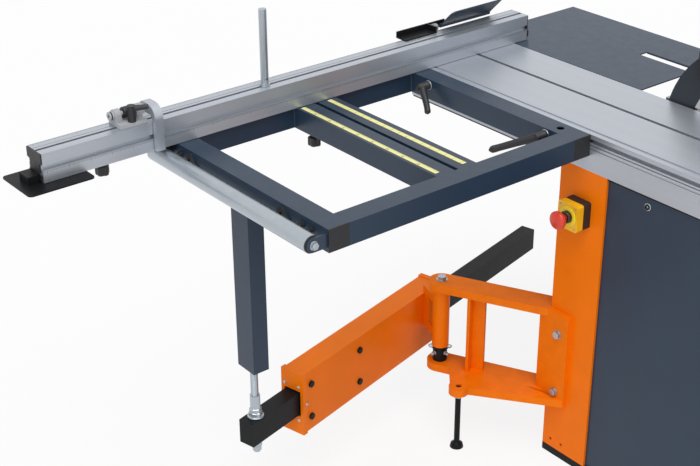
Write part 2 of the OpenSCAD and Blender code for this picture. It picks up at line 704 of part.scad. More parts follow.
module bracket_bolts() color([0.72, 0.73, 0.74]) {
    // Hinge pin with its head and nut
    zcyl(hinge_pin_d / 2 - fit, bracket_low - bracket_t - 4, bracket_top + 4, hinge_x, hinge_y);
    zcyl(14, bracket_top, bracket_top + 2, hinge_x, hinge_y);
    zhex(11, bracket_top + 2, bracket_top + 10, hinge_x, hinge_y);
    zhex(14, bracket_low - bracket_t - 12, bracket_low - bracket_t, hinge_x, hinge_y);
    for (z = bracket_bolt_z) {
        xcyl(5.9, x0 - 14, x0, bracket_bolt_y, z);
        xcyl(11, x0 - 16, x0 - 14, bracket_bolt_y, z);
        xhex(10, x0 - 23, x0 - 16, bracket_bolt_y, z);
    }
    // Lock nut of the levelling foot
    difference() {
        zhex(13, bracket_low - bracket_t - 10, bracket_low - bracket_t, foot_x, foot_y);
        zcyl(foot_rod_d / 2 + 0.3, bracket_low - bracket_t - 10 - eps, bracket_low, foot_x, foot_y);
    }
}

module levelling_foot() color([0.08, 0.08, 0.09]) {
    zcyl(foot_rod_d / 2, 8, bracket_low - 4, foot_x, foot_y);
    translate([foot_x, foot_y, 0]) cylinder(r1 = foot_d / 2, r2 = foot_d / 2 - 2, h = 9);
    translate([foot_x, foot_y, 9]) cylinder(r1 = foot_d / 2 - 4, r2 = foot_rod_d / 2 + 1, h = 7);
}

// Support arm

module swing_arm() color([0.90, 0.40, 0.05]) on_arm(0, 0) difference() {
    zb = bracket_top - bracket_t - gap;
    zc = bracket_low + collar_h;
    union() {
        translate([0, 0, zc]) cylinder(d = barrel_d, h = zb - zc, $fn = 64);
        // Slotted plate from the barrel to the housing
        rotate([0, 0, 241]) translate([barrel_d / 2 - 4, -4, zc + 10]) cube([arm_offset - 32, 8, arm_h - 48]);
        translate([-arm_in, -arm_offset - arm_w / 2, arm_z - arm_h / 2])
            cube([arm_in + arm_out, arm_w, arm_h]);
        // Thicker collars at both ends
        for (s = [-arm_in, arm_out - 14])
            translate([s, -arm_offset - arm_w / 2 - 2.5, arm_z - arm_h / 2 - 2.5])
                cube([14, arm_w + 5, arm_h + 5]);
    }
    translate([0, 0, zc - eps]) cylinder(r = hinge_pin_d / 2, h = zb - zc + 2 * eps);
    translate([-arm_in - eps, -arm_offset - arm_w / 2 + arm_wall, arm_z - arm_h / 2 + arm_wall])
        cube([arm_in + arm_out - arm_wall + eps, arm_w - 2 * arm_wall, arm_h - 2 * arm_wall]);
    // Window for the telescoping tube in the end plate
    translate([arm_out - arm_wall - eps, -arm_offset, arm_z]) rotate([0, 90, 0])
        linear_extrude(arm_wall + 2 * eps) square([tele_h + 2 * arm_window, tele_w + 2 * arm_window],
            center = true);
    for (s = roll_s, z = [-1, 1])
        translate([s, 0, arm_z + z * (tele_h / 2 + roll_d / 2 + 0.3)]) rotate([90, 0, 0])
        cylinder(r = 5, h = arm_offset + arm_w);
    rotate([0, 0, 241]) translate([barrel_d / 2 + 8, -6, zc + 30]) cube([32, 12, arm_h - 88]);
}

module arm_fittings() color([0.08, 0.08, 0.09]) on_arm(0, 0) {
    // Collar below the hinge barrel
    difference() {
        union() {
            translate([0, 0, bracket_low + gap]) cylinder(d = barrel_d - 6, h = collar_h - gap);
            for (a = [0 : 90 : 270]) rotate([0, 0, a - 11.7]) translate([0, 0, bracket_low + collar_h / 2])
                rotate([0, 90, 0]) cylinder(r = 3.5, h = barrel_d / 2 + 4);
        }
        translate([0, 0, bracket_low - eps]) cylinder(r = hinge_pin_d / 2, h = collar_h + 2);
    }
    // Guide rollers above and below the telescoping tube, on their bolts
    for (s = roll_s, z = [-1, 1]) translate([s, -arm_offset, arm_z + z * (tele_h / 2 + roll_d / 2 + 0.3)])
        rotate([90, 0, 0]) {
            cylinder(d = roll_d, h = tele_w, center = true);
            cylinder(r = 5, h = arm_w + 2, center = true);
            for (e = [-1, 1]) translate([0, 0, e * (arm_w / 2 + 2.5)]) cylinder(r = 8, h = 5, center = true);
        }
}

module telescope_tube() color([0.08, 0.08, 0.09]) on_arm(0, -arm_offset) difference() {
    translate([-tele_in, -tele_w / 2, arm_z - tele_h / 2]) cube([tele_len, tele_w, tele_h]);
    translate([-tele_in - eps, -tele_w / 2 + tele_wall, arm_z - tele_h / 2 + tele_wall])
        cube([tele_len - tele_wall + eps, tele_w - 2 * tele_wall, tele_h - 2 * tele_wall]);
    translate([post_reach, 0, arm_z - tele_h]) cylinder(d = post_rod_d + 0.6, h = 2 * tele_h);
}

post_at = [hinge_x, hinge_y] + [cos(180 + arm_angle) * post_reach + sin(180 + arm_angle) * arm_offset,
    sin(180 + arm_angle) * post_reach - cos(180 + arm_angle) * arm_offset];

module post() color([0.26, 0.31, 0.37]) translate([post_at[0], post_at[1], 0]) difference() {
    translate([-tele_w / 2, -tele_h / 2, post_z]) cube([tele_w, tele_h, post_top - post_z]);
    translate([-tele_w / 2 + tele_wall, -tele_h / 2 + tele_wall, post_z + 6])
        cube([tele_w - 2 * tele_wall, tele_h - 2 * tele_wall, post_top - post_z - 6 - 4]);
    translate([0, 0, post_z - eps]) cylinder(d = post_rod_d, h = 8);
}

module post_screw() color([0.74, 0.75, 0.77]) translate([post_at[0], post_at[1], 0]) {
    ta = arm_z + tele_h / 2;
    tb = arm_z - tele_h / 2;
    translate([0, 0, tb - 34]) cylinder(d = post_rod_d, h = post_z + 20 - tb + 34);
    translate([0, 0, ta + 0.3]) cylinder(r = 17, h = 2.5);
    translate([0, 0, ta + 2.8]) cylinder(r = 13.5, h = 13, $fn = 6);
    translate([0, 0, ta + 15]) cylinder(r = 11.5, h = 42);
    translate([0, 0, tb - 3]) cylinder(r = 16, h = 2.7);
    translate([0, 0, tb - 16]) cylinder(r = 13.5, h = 13, $fn = 6);
    translate([0, 0, tb - 29]) cylinder(r = 11.5, h = 11, $fn = 6);
}

// Outrigger

module outrigger_frame() color([0.26, 0.32, 0.39]) difference() {
    z = top - tube;
    y = frame_y;
    yb = frame_y + frame_d;
    w = tube_wall;
    union() {
        box([frame_x0, y + cap_t, z], [frame_x0 + tube, yb, top]);
        box([frame_x1 - tube, y + cap_t, z], [frame_x1, yb, top]);
        box([frame_x0 + tube, y, z], [frame_x1 - tube, y + tube, top]);
        box([frame_x0 + tube - 1, y + cap_t, z], [frame_x1 - tube + 1, y + tube, top]);
        box([frame_x0 + tube - eps, rear_tube_y, z], [frame_x1 - tube + eps, yb, top]);
        for (x = [beam_mid - beam_slot / 2 - tube, beam_mid + beam_slot / 2])
            box([x, y + tube - eps, z], [x + tube, rear_tube_y + eps, top]);
    }
    for (x = [frame_x0, frame_x1 - tube]) box([x + w, y, z + w], [x + tube - w, yb + eps, top - w]);
    for (yy = [y, rear_tube_y]) box([frame_x0 + tube - w - eps, yy + w, z + w],
        [frame_x1 - tube + w + eps, yy + tube - w, top - w]);
    for (x = [beam_mid - beam_slot / 2 - tube, beam_mid + beam_slot / 2])
        box([x + w, y + tube - w - eps, z + w], [x + tube - w, rear_tube_y + w + eps, top - w]);
    for (py = [frame_y + pivot_front, pivot_y]) zcyl(pivot_hole_d / 2, z - eps, top + eps, pivot_x, py);
    for (ly = lever_y) xcyl(stud_r + fit, frame_x1 - tube - eps, frame_x1 + eps, ly, lever_z);
    zcyl(4 + gap, z - eps, z + w + eps, knob_x, knob_y);
}

lever_y = [frame_y + 88, rear_tube_y - 61];
lever_z = top - 15;
stud_r = 4;
knob_x = beam_mid - beam_slot / 2 - tube / 2 - 10;
knob_y = rear_tube_y - 53;

module scale_tapes() color([0.92, 0.90, 0.52])
    for (x = [beam_mid - beam_slot / 2 - 43, beam_mid + beam_slot / 2 + 22])
        box([x, frame_y + tube + 12, top], [x + 12, rear_tube_y - 16, top + 0.4]);

module tube_caps() color([0.10, 0.10, 0.11]) for (x = [frame_x0, frame_x1 - tube]) {
    box([x, frame_y, top - tube], [x + tube, frame_y + cap_t, top]);
    box([x + tube_wall + 0.2, frame_y + cap_t, top - tube + tube_wall + 0.2],
        [x + tube - tube_wall - 0.2, frame_y + cap_t + 12, top - tube_wall - 0.2]);
}

module roller_ears() color([0.26, 0.32, 0.39]) {
    for (y = [roller_y1 - ear_t - 2, roller_y2 + 2]) difference() {
        union() {
            ycyl(15, y, y + ear_t, roller_x, roller_z);
            box([roller_x, y, roller_z - 15], [frame_x0, y + ear_t, roller_z + 15]);
        }
        ycyl(axle_d / 2, y - eps, y + ear_t + eps, roller_x, roller_z);
    }
    ycyl(axle_d / 2, roller_y1 - ear_t - 2, roller_y2 + ear_t + 2, roller_x, roller_z);
    for (y = [roller_y1 - ear_t - 8, roller_y2 + ear_t + 2]) yhex(8, y, y + 6, roller_x, roller_z);
    // Triangular stiffening plates on the tube, with their bolts
    for (y = [frame_y + 110, frame_y + 440]) difference() {
        upright_yz(frame_x0 - 4, frame_x0) polygon([[y, top - 42], [y + 36, top - 6], [y + 44, top - 6],
            [y + 58, top - 28], [y + 58, top - 42]]);
        xcyl(4, frame_x0 - 4 - eps, frame_x0 + eps, y + 40, top - 22);
    }
    for (y = [frame_y + 57, frame_y + 85, frame_y + frame_d - 67, frame_y + frame_d - 30])
        xhex(6, frame_x0 - 4, frame_x0, y, top - 22);
}

module roller() color([0.78, 0.79, 0.81]) difference() {
    ycyl(roller_d / 2, roller_y1, roller_y2, roller_x, roller_z);
    ycyl(axle_d / 2 + fit, roller_y1 - eps, roller_y2 + eps, roller_x, roller_z);
    ycyl(roller_d / 2 - roller_wall, roller_y1 + 12, roller_y2 - 12, roller_x, roller_z);
}

// A clamp lever: turn is the handle's angle from +Y towards +Z, lean its angle off the tube
module clamp_lever(y, turn, lean, len) color([0.09, 0.09, 0.10]) translate([frame_x1 - tube, y, lever_z]) {
    translate([-12, 0, 0]) rotate([0, 90, 0]) cylinder(r = stud_r, h = 12 + tube + 9.5);
    translate([tube + 6, 0, 0]) rotate([0, 90, 0]) cylinder(r = 5.6, h = 3.5);
    translate([-32, 0, 0]) rotate([0, 90, 0]) cylinder(r1 = 10, r2 = 11, h = 32 - gap);
    translate([-24, 0, 0]) rotate([turn - 90, 0, 0]) rotate([0, -lean, 0]) {
        cylinder(r1 = 8, r2 = 6.5, h = len);
        translate([0, 0, len]) sphere(r = 6.8, $fn = 32);
    }
}
module clamp_lever_front() clamp_lever(lever_y[0], -27, 30, lever_len);
module clamp_lever_rear() clamp_lever(lever_y[1], 230, 8, lever_len * 0.6);

// A five-lobed clamping knob with a stud that stands up from it
module lobed_knob(x, y, z, stud) translate([x, y, z]) {
    cylinder(r = 4, h = stud);
    linear_extrude(22) {
        circle(r = 12);
        for (a = [0 : 72 : 288]) rotate([0, 0, a]) translate([11, 0]) circle(r = 5);
    }
}
module beam_knob() color([0.09, 0.09, 0.10]) {
    lobed_knob(knob_x, knob_y, top - tube - 30, 30 + tube_wall + 2);
    zcyl(9, top - tube + tube_wall + gap, top - tube + tube_wall + 5, knob_x, knob_y);
}

// Fence

// The fence profile's outline, with its front lower corner at the origin
module fence_outline() difference() {
    square([fence_d, fence_h]);
    translate([-eps, 27]) square([eps + 8, 11]);
    translate([fence_d - 8, 27]) square([8 + eps, 11]);
    translate([top_slot_y - fence_y - 4, fence_h - 6]) square([8, 6 + eps]);
    translate([top_slot_y - fence_y - 8, fence_h - 13]) square([16, 8]);
    translate([38, fence_h - 2]) square([1.5, 2 + eps]);
    translate([(fence_d - bar_w) / 2 - gap, 4 - gap]) square([bar_w + 2 * gap, bar_h + 2 * gap]);
    translate([8 + alu_wall, 22]) square([fence_d - 16 - 2 * alu_wall, 24]);
}

module fence_profile() color([0.76, 0.77, 0.79]) difference() {
    translate([fence_x0, fence_y, fence_z]) rotate([90, 0, 90]) linear_extrude(fence_len) fence_outline();
    zcyl(4 + fit, fence_z - eps, fence_z + 5, ext_knob_x, fence_mid);
}

module fence_pin() color([0.74, 0.75, 0.77])
    zcyl(pivot_hole_d / 2 - fit, top - tube - 4, fence_z, pivot_x, pivot_y);

module fence_caps() color([0.09, 0.09, 0.10]) {
    upright_yz(fence_x0 - 3, fence_x0) translate([fence_y, fence_z]) difference() {
        polygon([[0, fence_h - 1], [0, fence_h - 22], [9, fence_h - 24], [9, 20], [4, 16], [4, 3],
            [fence_d - 4, 3],
            [fence_d - 4, 16], [fence_d - 9, 20], [fence_d - 9, fence_h - 24], [fence_d, fence_h - 22],
            [fence_d, fence_h - 1]]);
        translate([(fence_d - bar_w) / 2 - gap, -eps]) square([bar_w + 2 * gap, 4 + eps + bar_h + 2 * gap]);
    }
    upright_yz(fence_x1, fence_x1 + 3)
        translate([fence_y + 1, fence_z + 1]) square([fence_d - 2, fence_h - 2]);
    box([fence_x1 + 3, fence_y + 8, fence_z + 4], [fence_x1 + 14, fence_y + 34, fence_z + 20]);
}

bracket_x = pivot_x - 15;
bracket_y = fence_y + fence_d + 22;
bracket_len = 100;
hinge_axis = [fence_y + fence_d + 8.5, fence_top + 6];
flap_x = bracket_x + bracket_len + 30;

module back_bracket() color([0.09, 0.09, 0.10]) {
    ya = fence_y + fence_d - 14;
    box([bracket_x, ya, fence_top], [bracket_x + bracket_len, bracket_y, fence_top + 3]);
    box([bracket_x, bracket_y - 3, fence_top], [bracket_x + bracket_len + 55, bracket_y, fence_top + 16]);
    // Right cheek with the axle of the flap
    box([bracket_x + bracket_len - 4, ya, fence_top],
        [bracket_x + bracket_len, bracket_y, fence_top + 16]);
    xcyl(flap_axle_d / 2 - fit, bracket_x + bracket_len - 2, flap_x + flap_len, hinge_axis[0], hinge_axis[1]);
}

module knurled_knob() color([0.55, 0.56, 0.58]) difference() {
    xa = bracket_x + bracket_len + gap;
    xcyl(9.5, xa, xa + 17, hinge_axis[0], hinge_axis[1]);
    xcyl(flap_axle_d / 2, xa - eps, xa + 17 + eps, hinge_axis[0], hinge_axis[1]);
}

module flap() color([0.16, 0.19, 0.23]) difference() {
    union() {
        xcyl(5, flap_x, flap_x + flap_len, hinge_axis[0], hinge_axis[1]);
        translate([flap_x, hinge_axis[0], hinge_axis[1]]) rotate([135, 0, 0])
            translate([0, 3.5, -1.5]) linear_extrude(3) {
                square([flap_len, flap_d - 15.5]);
                translate([12, 0]) square([flap_len - 12, flap_d - 3.5]);
                translate([12, flap_d - 15.5]) circle(r = 12);
            }
    }
    xcyl(flap_axle_d / 2, flap_x - eps, flap_x + flap_len + eps, hinge_axis[0], hinge_axis[1]);
}

module extension_bar() color([0.09, 0.09, 0.10]) {
    xa = fence_x0 - 30;
    ya = bar_mid - bar_w / 2;
    box([xa, ya, bar_z], [xa + bar_len, ya + bar_w, bar_z + bar_h]);
    box([xa, ya, top], [xa + 24, ya + bar_w, bar_z]);
    translate([xa + 53, fence_mid - 4, top - 3]) linear_extrude(3) round_rect(150, 124, 10);
}

module extension_knob() color([0.09, 0.09, 0.10]) lobed_knob(ext_knob_x, fence_mid, fence_z - 33, 36);

// Flip stop

stop_y = fence_y + 36;
stop_z = fence_top + 24;
stop_left = fence_x0 + stop_x;

module stop_block() color([0.78, 0.79, 0.81]) difference() {
    xa = stop_left;
    union() {
        box([xa, fence_y + 6, fence_top + gap], [xa + 64, fence_y + fence_d - 4, fence_top + 9]);
        for (x = [xa, xa + 50]) {
            box([x, stop_y - 12, fence_top + 8], [x + 14, stop_y + 12, stop_z]);
            xcyl(12, x, x + 14, stop_y, stop_z);
        }
        box([xa + 63, stop_y - 9, stop_z - 9], [xa + 72 - gap, stop_y + 9, stop_z + 9]);
        xcyl(5 - fit, xa - 8, xa + 76 + stop_w, stop_y, stop_z);
        xcyl(9, xa - 10, xa, stop_y, stop_z);
        xcyl(8, xa + 72 + gap + stop_w, xa + 77 + stop_w, stop_y, stop_z);
        slot_nut(xa + 12, 40);
    }
    zcyl(5 + fit, fence_top + 2, fence_top + 10, xa + 32, fence_y + 14);
}

// A T-shaped nut that runs in the fence's top slot
module slot_nut(x, len) {
    box([x, top_slot_y - 4 + gap, fence_top - 8], [x + len, top_slot_y + 4 - gap, fence_top + 2]);
    box([x, top_slot_y - 8 + gap, fence_top - 13 + gap],
        [x + len, top_slot_y + 8 - gap, fence_top - 6 - gap]);
}

module stop_arm() color([0.78, 0.79, 0.81]) difference() {
    ya = fence_y - 13;
    zt = stop_z + 14;
    xa = stop_left + 72;
    upright_yz(xa, xa + stop_w) difference() {
        union() {
            translate([stop_y, stop_z + 2]) circle(r = 12);
            translate([ya + 30, zt - 30]) circle(r = 30);
            translate([ya, top + 3]) square([30, zt - 30 - top - 3]);
            translate([ya + 29, zt - 30]) square([stop_y - ya - 29, 30]);
        }
        // The space over the fence's front edge
        translate([ya + stop_t + 14, stop_z - 22]) circle(r = 14);
        translate([ya + stop_t, top + 2]) square([60, stop_z - 24 - top]);
        translate([ya + stop_t + 14, stop_z - 40]) square([60, 32]);
    }
    xcyl(5, xa - eps, xa + stop_w + eps, stop_y, stop_z);
}

module stop_lever() color([0.09, 0.09, 0.10]) {
    lx = stop_left + 32;
    ly = fence_y + 14;
    zcyl(5, fence_top + 2 + gap, fence_top + 12, lx, ly);
    zcyl(9, fence_top + 9 + gap, fence_top + 45, lx, ly);
    translate([lx, ly, fence_top + 38]) rotate([0, 84, -36]) cylinder(r1 = 7, r2 = 5, h = 36);
}

module clamp_rod() color([0.78, 0.79, 0.81]) difference() {
    union() {
        zcyl(rod_d / 2, fence_top + gap, fence_top + rod_h, fence_x0 + rod_x, top_slot_y);
        zcyl(rod_d / 2 + 3, fence_top + gap, fence_top + 5, fence_x0 + rod_x, top_slot_y);
        slot_nut(fence_x0 + rod_x - 12, 24);
    }
    ycyl(3, top_slot_y - 20, top_slot_y + 20, fence_x0 + rod_x, fence_top + 18);
}

// Saw unit

module trunnions() color([0.42, 0.44, 0.46]) {
    beam_a = cab_top - 40;
    for (y = [front_shoe - gap - shoe_t, rear_shoe + shoe_t + gap]) upright_xz(y, y + shoe_t) difference() {
        union() {
            tilt_band(tilt_r - 35, tilt_r + 35, -140, -25);
            translate([x0 + cab_inset + cab_sheet, beam_a]) square([cab_w - cab_inset - 2 * cab_sheet, 40]);
        }
        tilt_band(tilt_r - tilt_pin_d / 2 - gap, tilt_r + tilt_pin_d / 2 + gap, -129, -40);
        // Nothing of the bracket reaches up beside the blade
        translate([x0, cab_top]) square([cab_w, 100]);
        // The column's corner stays free
        if (y > 0) translate([x0, beam_a - 60]) square([col_t + cab_sheet, 200]);
    }
    // Feet that carry the saw table
    for (x = [table_x + 70, table_x + table_w - 60]) {
        box([x, front_shoe - gap - shoe_t, cab_top - eps], [x + 40, front_shoe - gap, top - 0.5 - table_t]);
        box([x, rear_shoe + shoe_t + gap, cab_top - eps],
            [x + 40, rear_shoe + 2 * shoe_t + gap, top - table_rib_h]);
        box([x, table_back - table_rib_t, top - table_rib_h - 10],
            [x + 40, rear_shoe + 2 * shoe_t + gap, top - table_rib_h]);
    }
}

module tilt_frame() color([0.30, 0.31, 0.33]) {
    plate_a = col_x - 27;
    plate_b = col_x + 28;
    low = top - 355;
    for (y = [front_shoe, rear_shoe]) upright_xz(y, y + shoe_t) difference() {
        union() {
            tilt_band(tilt_r - 30, tilt_r + 30, -90, -40);
            translate([plate_a, low]) square([plate_b - plate_a, top - 112 - low]);
        }
        translate([x0, top - 85]) square([cab_w, 100]);
    }
    // Pins in the tilt slots
    for (a = [-80, -50]) {
        px = blade_x + tilt_r * cos(a);
        pz = top + tilt_r * sin(a);
        ycyl(tilt_pin_d / 2, front_shoe - shoe_t - 4, front_shoe + eps, px, pz);
        ycyl(tilt_pin_d / 2, rear_shoe + shoe_t - eps, rear_shoe + 2 * shoe_t + 4, px, pz);
    }
    // Lower beam, upper arms and the two lift columns
    box([col_x - 17, front_shoe + shoe_t - eps, low], [col_x + 17, rear_shoe + eps, low + 20]);
    box([col_x - 17, front_shoe + shoe_t - eps, top - 137], [col_x + 17, col_y[0] + 14, top - 112]);
    box([col_x - 17, col_y[1] - 14, top - 137], [col_x + 17, rear_shoe + eps, top - 112]);
    for (y = col_y) zcyl(lift_col_d / 2, low + 18, top - 114, col_x, y);
}

module lift_carrier() color([0.42, 0.44, 0.46]) difference() {
    plate_x = col_x + 24;
    union() {
        xcyl(27, blade_x + 10, pulley_x - 4, blade_y, blade_z);
        box([plate_x, blade_y - 100, motor_z - motor_d / 2 - 14],
            [plate_x + 18, blade_y + 100, blade_z - 10]);
        for (y = col_y) zcyl(lift_col_d / 2 + 11, top - 262, top - 150, col_x, y);
        for (y = col_y) box([col_x, y - 16, top - 262], [plate_x + 2, y + 16, top - 150]);
        // Shelf under the motor
        box([plate_x, blade_y - 80, motor_z - motor_d / 2 - 14], [motor_x + motor_len - 10, blade_y + 80,
            motor_z - motor_d / 2 - 6]);
        // Arm that holds the riving knife
        box([blade_x + knife_t / 2, blade_y + knife_r1 - 4, blade_z - 45],
            [blade_x + 22, blade_y + knife_r2 - 14, blade_z - 20]);
        box([blade_x + 12, blade_y + 10, blade_z - 45],
            [blade_x + 22, blade_y + knife_r2 - 14, blade_z - 20]);
    }
    xcyl(12.5, blade_x, plate_x + 30, blade_y, blade_z);
    for (y = col_y) zcyl(lift_col_d / 2 + fit, top - 300, top - 140, col_x, y);
    // Room for the blade and its flange
    xcyl(flange_d / 2 + 2, blade_x - 1, blade_x + blade_t / 2 + 7, blade_y, blade_z);
}

module motor() color([0.22, 0.24, 0.27]) {
    difference() {
        xcyl(motor_d / 2, motor_x, motor_x + motor_len, blade_y, motor_z);
        xcyl(11, motor_x - eps, motor_x + 60, blade_y, motor_z);
    }
    // Cooling ribs along the body
    for (a = [20 : 20 : 340]) translate([motor_x + 12, blade_y, motor_z]) rotate([a, 0, 0])
        translate([0, -1.5, motor_d / 2 - 2]) cube([motor_len - 40, 3, 7]);
    box([motor_x + 10, blade_y - 60, motor_z - motor_d / 2 - 6], [motor_x + motor_len - 30, blade_y + 60,
        motor_z - motor_d / 2 + 10]);
}

module motor_pulley() color([0.50, 0.51, 0.53]) {
    xcyl(11 - fit, pulley_x, motor_x + 58, blade_y, motor_z);
    xcyl(motor_pulley_d / 2, pulley_x, pulley_x + belt_w + 4, blade_y, motor_z);
}

module saw_arbor() color([0.60, 0.61, 0.63]) {
    t = blade_t / 2;
    xcyl(12.5 - fit, blade_x + t + 6, pulley_x + 2, blade_y, blade_z);
    xcyl(flange_d / 2, blade_x + t, blade_x + t + 6, blade_y, blade_z);
    xcyl(arbor_d / 2, blade_x - t, blade_x + t, blade_y, blade_z);
    xcyl(flange_d / 2, blade_x - t - 4, blade_x - t, blade_y, blade_z);
    xhex(14, blade_x - t - 11, blade_x - t - 4, blade_y, blade_z);
    xcyl(arbor_pulley_d / 2, pulley_x, pulley_x + belt_w + 4, blade_y, blade_z);
}

// Tooth tips and gullets round the blade
function tooth(i, n, r) = let (a = 360 / n) [
    r * [cos(i * a), sin(i * a)], (r - 9) * [cos(i * a + 0.10 * a), sin(i * a + 0.10 * a)],
    (r - 8) * [cos(i * a + 0.35 * a), sin(i * a + 0.35 * a)],
    (r - 1) * [cos(i * a + 0.75 * a), sin(i * a + 0.75 * a)]];
blade_points = [for (i = [0 : blade_teeth - 1]) each tooth(i, blade_teeth, blade_d / 2)];

module saw_blade() color([0.66, 0.67, 0.69]) difference() {
    translate([blade_x - blade_t / 2, blade_y, blade_z]) rotate([90, 0, 90]) linear_extrude(blade_t)
        polygon(blade_points);
    xcyl(arbor_d / 2, blade_x - blade_t, blade_x + blade_t, blade_y, blade_z);
}

// The belt's outline round both pulleys: two circles and the area between their tangent points
module belt_outline(extra) {
    ra = arbor_pulley_d / 2 + extra;
    rb = motor_pulley_d / 2 + extra;
    dip = asin((rb - ra) / motor_drop);
    circle(r = ra);
    translate([0, -motor_drop]) circle(r = rb);
    polygon([[ra * cos(dip), ra * sin(dip)], [-ra * cos(dip), ra * sin(dip)],
        [-rb * cos(dip), rb * sin(dip) - motor_drop], [rb * cos(dip), rb * sin(dip) - motor_drop]]);
}

module drive_belt() color([0.07, 0.07, 0.08]) translate([pulley_x + 2, blade_y, blade_z]) rotate([90, 0, 90])
    linear_extrude(belt_w) difference() {
        belt_outline(belt_t);
        belt_outline(0.3);
    }

module riving_knife() color([0.13, 0.16, 0.19]) difference() {
    translate([blade_x - knife_t / 2, blade_y, blade_z]) rotate([90, 0, 90])
        ring_sector(knife_r1, knife_r2, -16, 50, knife_t);
    xcyl(guard_pin_d / 2, blade_x - 5, blade_x + 5, guard_y, guard_pin_z);
}

guard_pin_d = 8;
guard_y = blade_y + (knife_r1 + 36) * cos(46);
guard_pin_z = blade_z + (knife_r1 + 36) * sin(46);

module blade_guard() color([0.12, 0.13, 0.15]) {
    ya = blade_y - blade_d / 2 - 22;
    yb = blade_y + 150;
    zb = top + guard_z + guard_h;
    difference() {
        upright_yz(blade_x - guard_w / 2, blade_x + guard_w / 2) polygon([[ya, top + guard_z], [ya, zb - 30],
            [ya + 45, zb], [yb - 40, zb], [yb, zb - 10], [yb, top + guard_z]]);
        upright_yz(blade_x - guard_w / 2 + 2, blade_x + guard_w / 2 - 2) polygon([
            [ya + 2, top + guard_z - eps], [ya + 2, zb - 31], [ya + 46, zb - 2], [yb - 40, zb - 2],
            [yb + eps, zb - 12], [yb + eps, top + guard_z - eps]]);
    }
    // Bolt through the riving knife, with its knob
    xcyl(guard_pin_d / 2 - fit, blade_x - guard_w / 2, blade_x + guard_w / 2, guard_y, guard_pin_z);
    for (x = [blade_x - guard_w / 2 + 2, blade_x + guard_w / 2 - 6])
        xcyl(7, x, x + 4, guard_y, guard_pin_z);
}

// Handwheels

// A three-spoke handwheel on a shaft through the cabinet's front wall
module handwheel(x) translate([x, y0, wheel_z]) rotate([90, 0, 0]) {
    translate([0, 0, -40]) cylinder(r = 7, h = 75);
    translate([0, 0, 3]) cylinder(r = 18, h = 36);
    translate([0, 0, 26]) rotate_extrude() translate([wheel_d / 2 - 8, 0]) circle(r = 8, $fn = 32);
    for (a = [30, 150, 270]) rotate([0, 0, a]) translate([10, -6, 20]) cube([wheel_d / 2 - 18, 12, 9]);
    rotate([0, 0, 60]) translate([wheel_d / 2 - 8, 0, 26]) {
        cylinder(r = 4, h = 56);
        translate([0, 0, 14]) cylinder(r1 = 9, r2 = 11, h = 44);
    }
}
module tilt_wheel() color([0.09, 0.09, 0.10]) handwheel(wheel_x[1]);
module height_wheel() color([0.09, 0.09, 0.10]) handwheel(wheel_x[0]);

cabinet();
column();
plinth();
slide_rail();
main_table();
outfeed_plate();
right_table();
rip_rail();
estop_base();
estop_cover();
arm_bracket();
bracket_bolts();
trunnions();
switch_box();
estop_button();
switch_rocker();
side_door();
levelling_foot();
carriage();
carriage_caps();
ball_cage();
outrigger_frame();
scale_tapes();
tube_caps();
roller_ears();
roller();
clamp_lever_front();
clamp_lever_rear();
beam_knob();
fence_profile();
fence_caps();
fence_pin();
back_bracket();
knurled_knob();
flap();
extension_bar();
extension_knob();
stop_block();
stop_arm();
stop_lever();
clamp_rod();
swing_arm();
arm_fittings();
telescope_tube();
post();
post_screw();
tilt_frame();
lift_carrier();
motor();
motor_pulley();
saw_arbor();
saw_blade();
drive_belt();
riving_knife();
blade_guard();
tilt_wheel();
height_wheel();
rip_slide();
rip_profile();
rip_lever();
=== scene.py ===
"""Finishes, fine pieces, light and camera for the sliding table saw."""
import math

import bpy
import numpy as np
from bpy.props import FloatProperty, FloatVectorProperty, IntProperty, PointerProperty
from mathutils import Matrix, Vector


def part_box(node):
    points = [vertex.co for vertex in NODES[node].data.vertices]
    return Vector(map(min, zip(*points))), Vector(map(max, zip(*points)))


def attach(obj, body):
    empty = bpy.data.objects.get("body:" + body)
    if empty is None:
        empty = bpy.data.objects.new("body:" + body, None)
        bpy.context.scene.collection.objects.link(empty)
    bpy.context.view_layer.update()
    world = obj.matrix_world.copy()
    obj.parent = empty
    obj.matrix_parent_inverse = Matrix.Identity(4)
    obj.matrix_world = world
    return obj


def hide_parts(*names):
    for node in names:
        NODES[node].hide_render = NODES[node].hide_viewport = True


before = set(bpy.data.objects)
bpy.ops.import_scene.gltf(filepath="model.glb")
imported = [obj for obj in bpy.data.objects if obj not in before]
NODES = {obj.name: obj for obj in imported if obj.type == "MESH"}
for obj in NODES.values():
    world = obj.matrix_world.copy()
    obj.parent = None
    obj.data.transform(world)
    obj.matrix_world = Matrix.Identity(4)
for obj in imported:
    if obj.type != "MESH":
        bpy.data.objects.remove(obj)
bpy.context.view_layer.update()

bl_info = {
    "name": "Sliding table saw dresser",
    "version": (1, 0, 0),
    "blender": (4, 5, 0),
    "location": "View3D > Sidebar > Table saw",
    "description": "Dresses a jointed sliding table saw with finishes and fine pieces",
    "category": "Object",
}


def corners(name):
    """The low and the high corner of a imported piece's box, in metres."""
    return [np.array(corner, float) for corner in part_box(name)]


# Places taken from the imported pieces
TABLE_TOP = corners("carriage")[1][2]
BUTTON_LOW, BUTTON_HIGH = corners("estop_button")
COVER_LOW, COVER_HIGH = corners("estop_cover")
FENCE_LOW, FENCE_HIGH = corners("fence_profile")
TAPE_LOW, TAPE_HIGH = corners("scale_tapes")
FRAME_LOW, FRAME_HIGH = corners("outrigger_frame")
ROLLER_LOW, ROLLER_HIGH = corners("roller")

# Side of the outrigger's square tubes, in metres like all sizes below
TUBE = 0.05
# Width of one scale tape
TAPE_W = 0.012
# Lugs on the outer tube, painted near black for their own dark colour and painted shade: thickness,
# stretch along the tube, drop of their bolts below its top
LUG_T = 0.0042
LUG_SPAN = (0.30, 0.845)
LUG_BOLT_DROP = 0.022
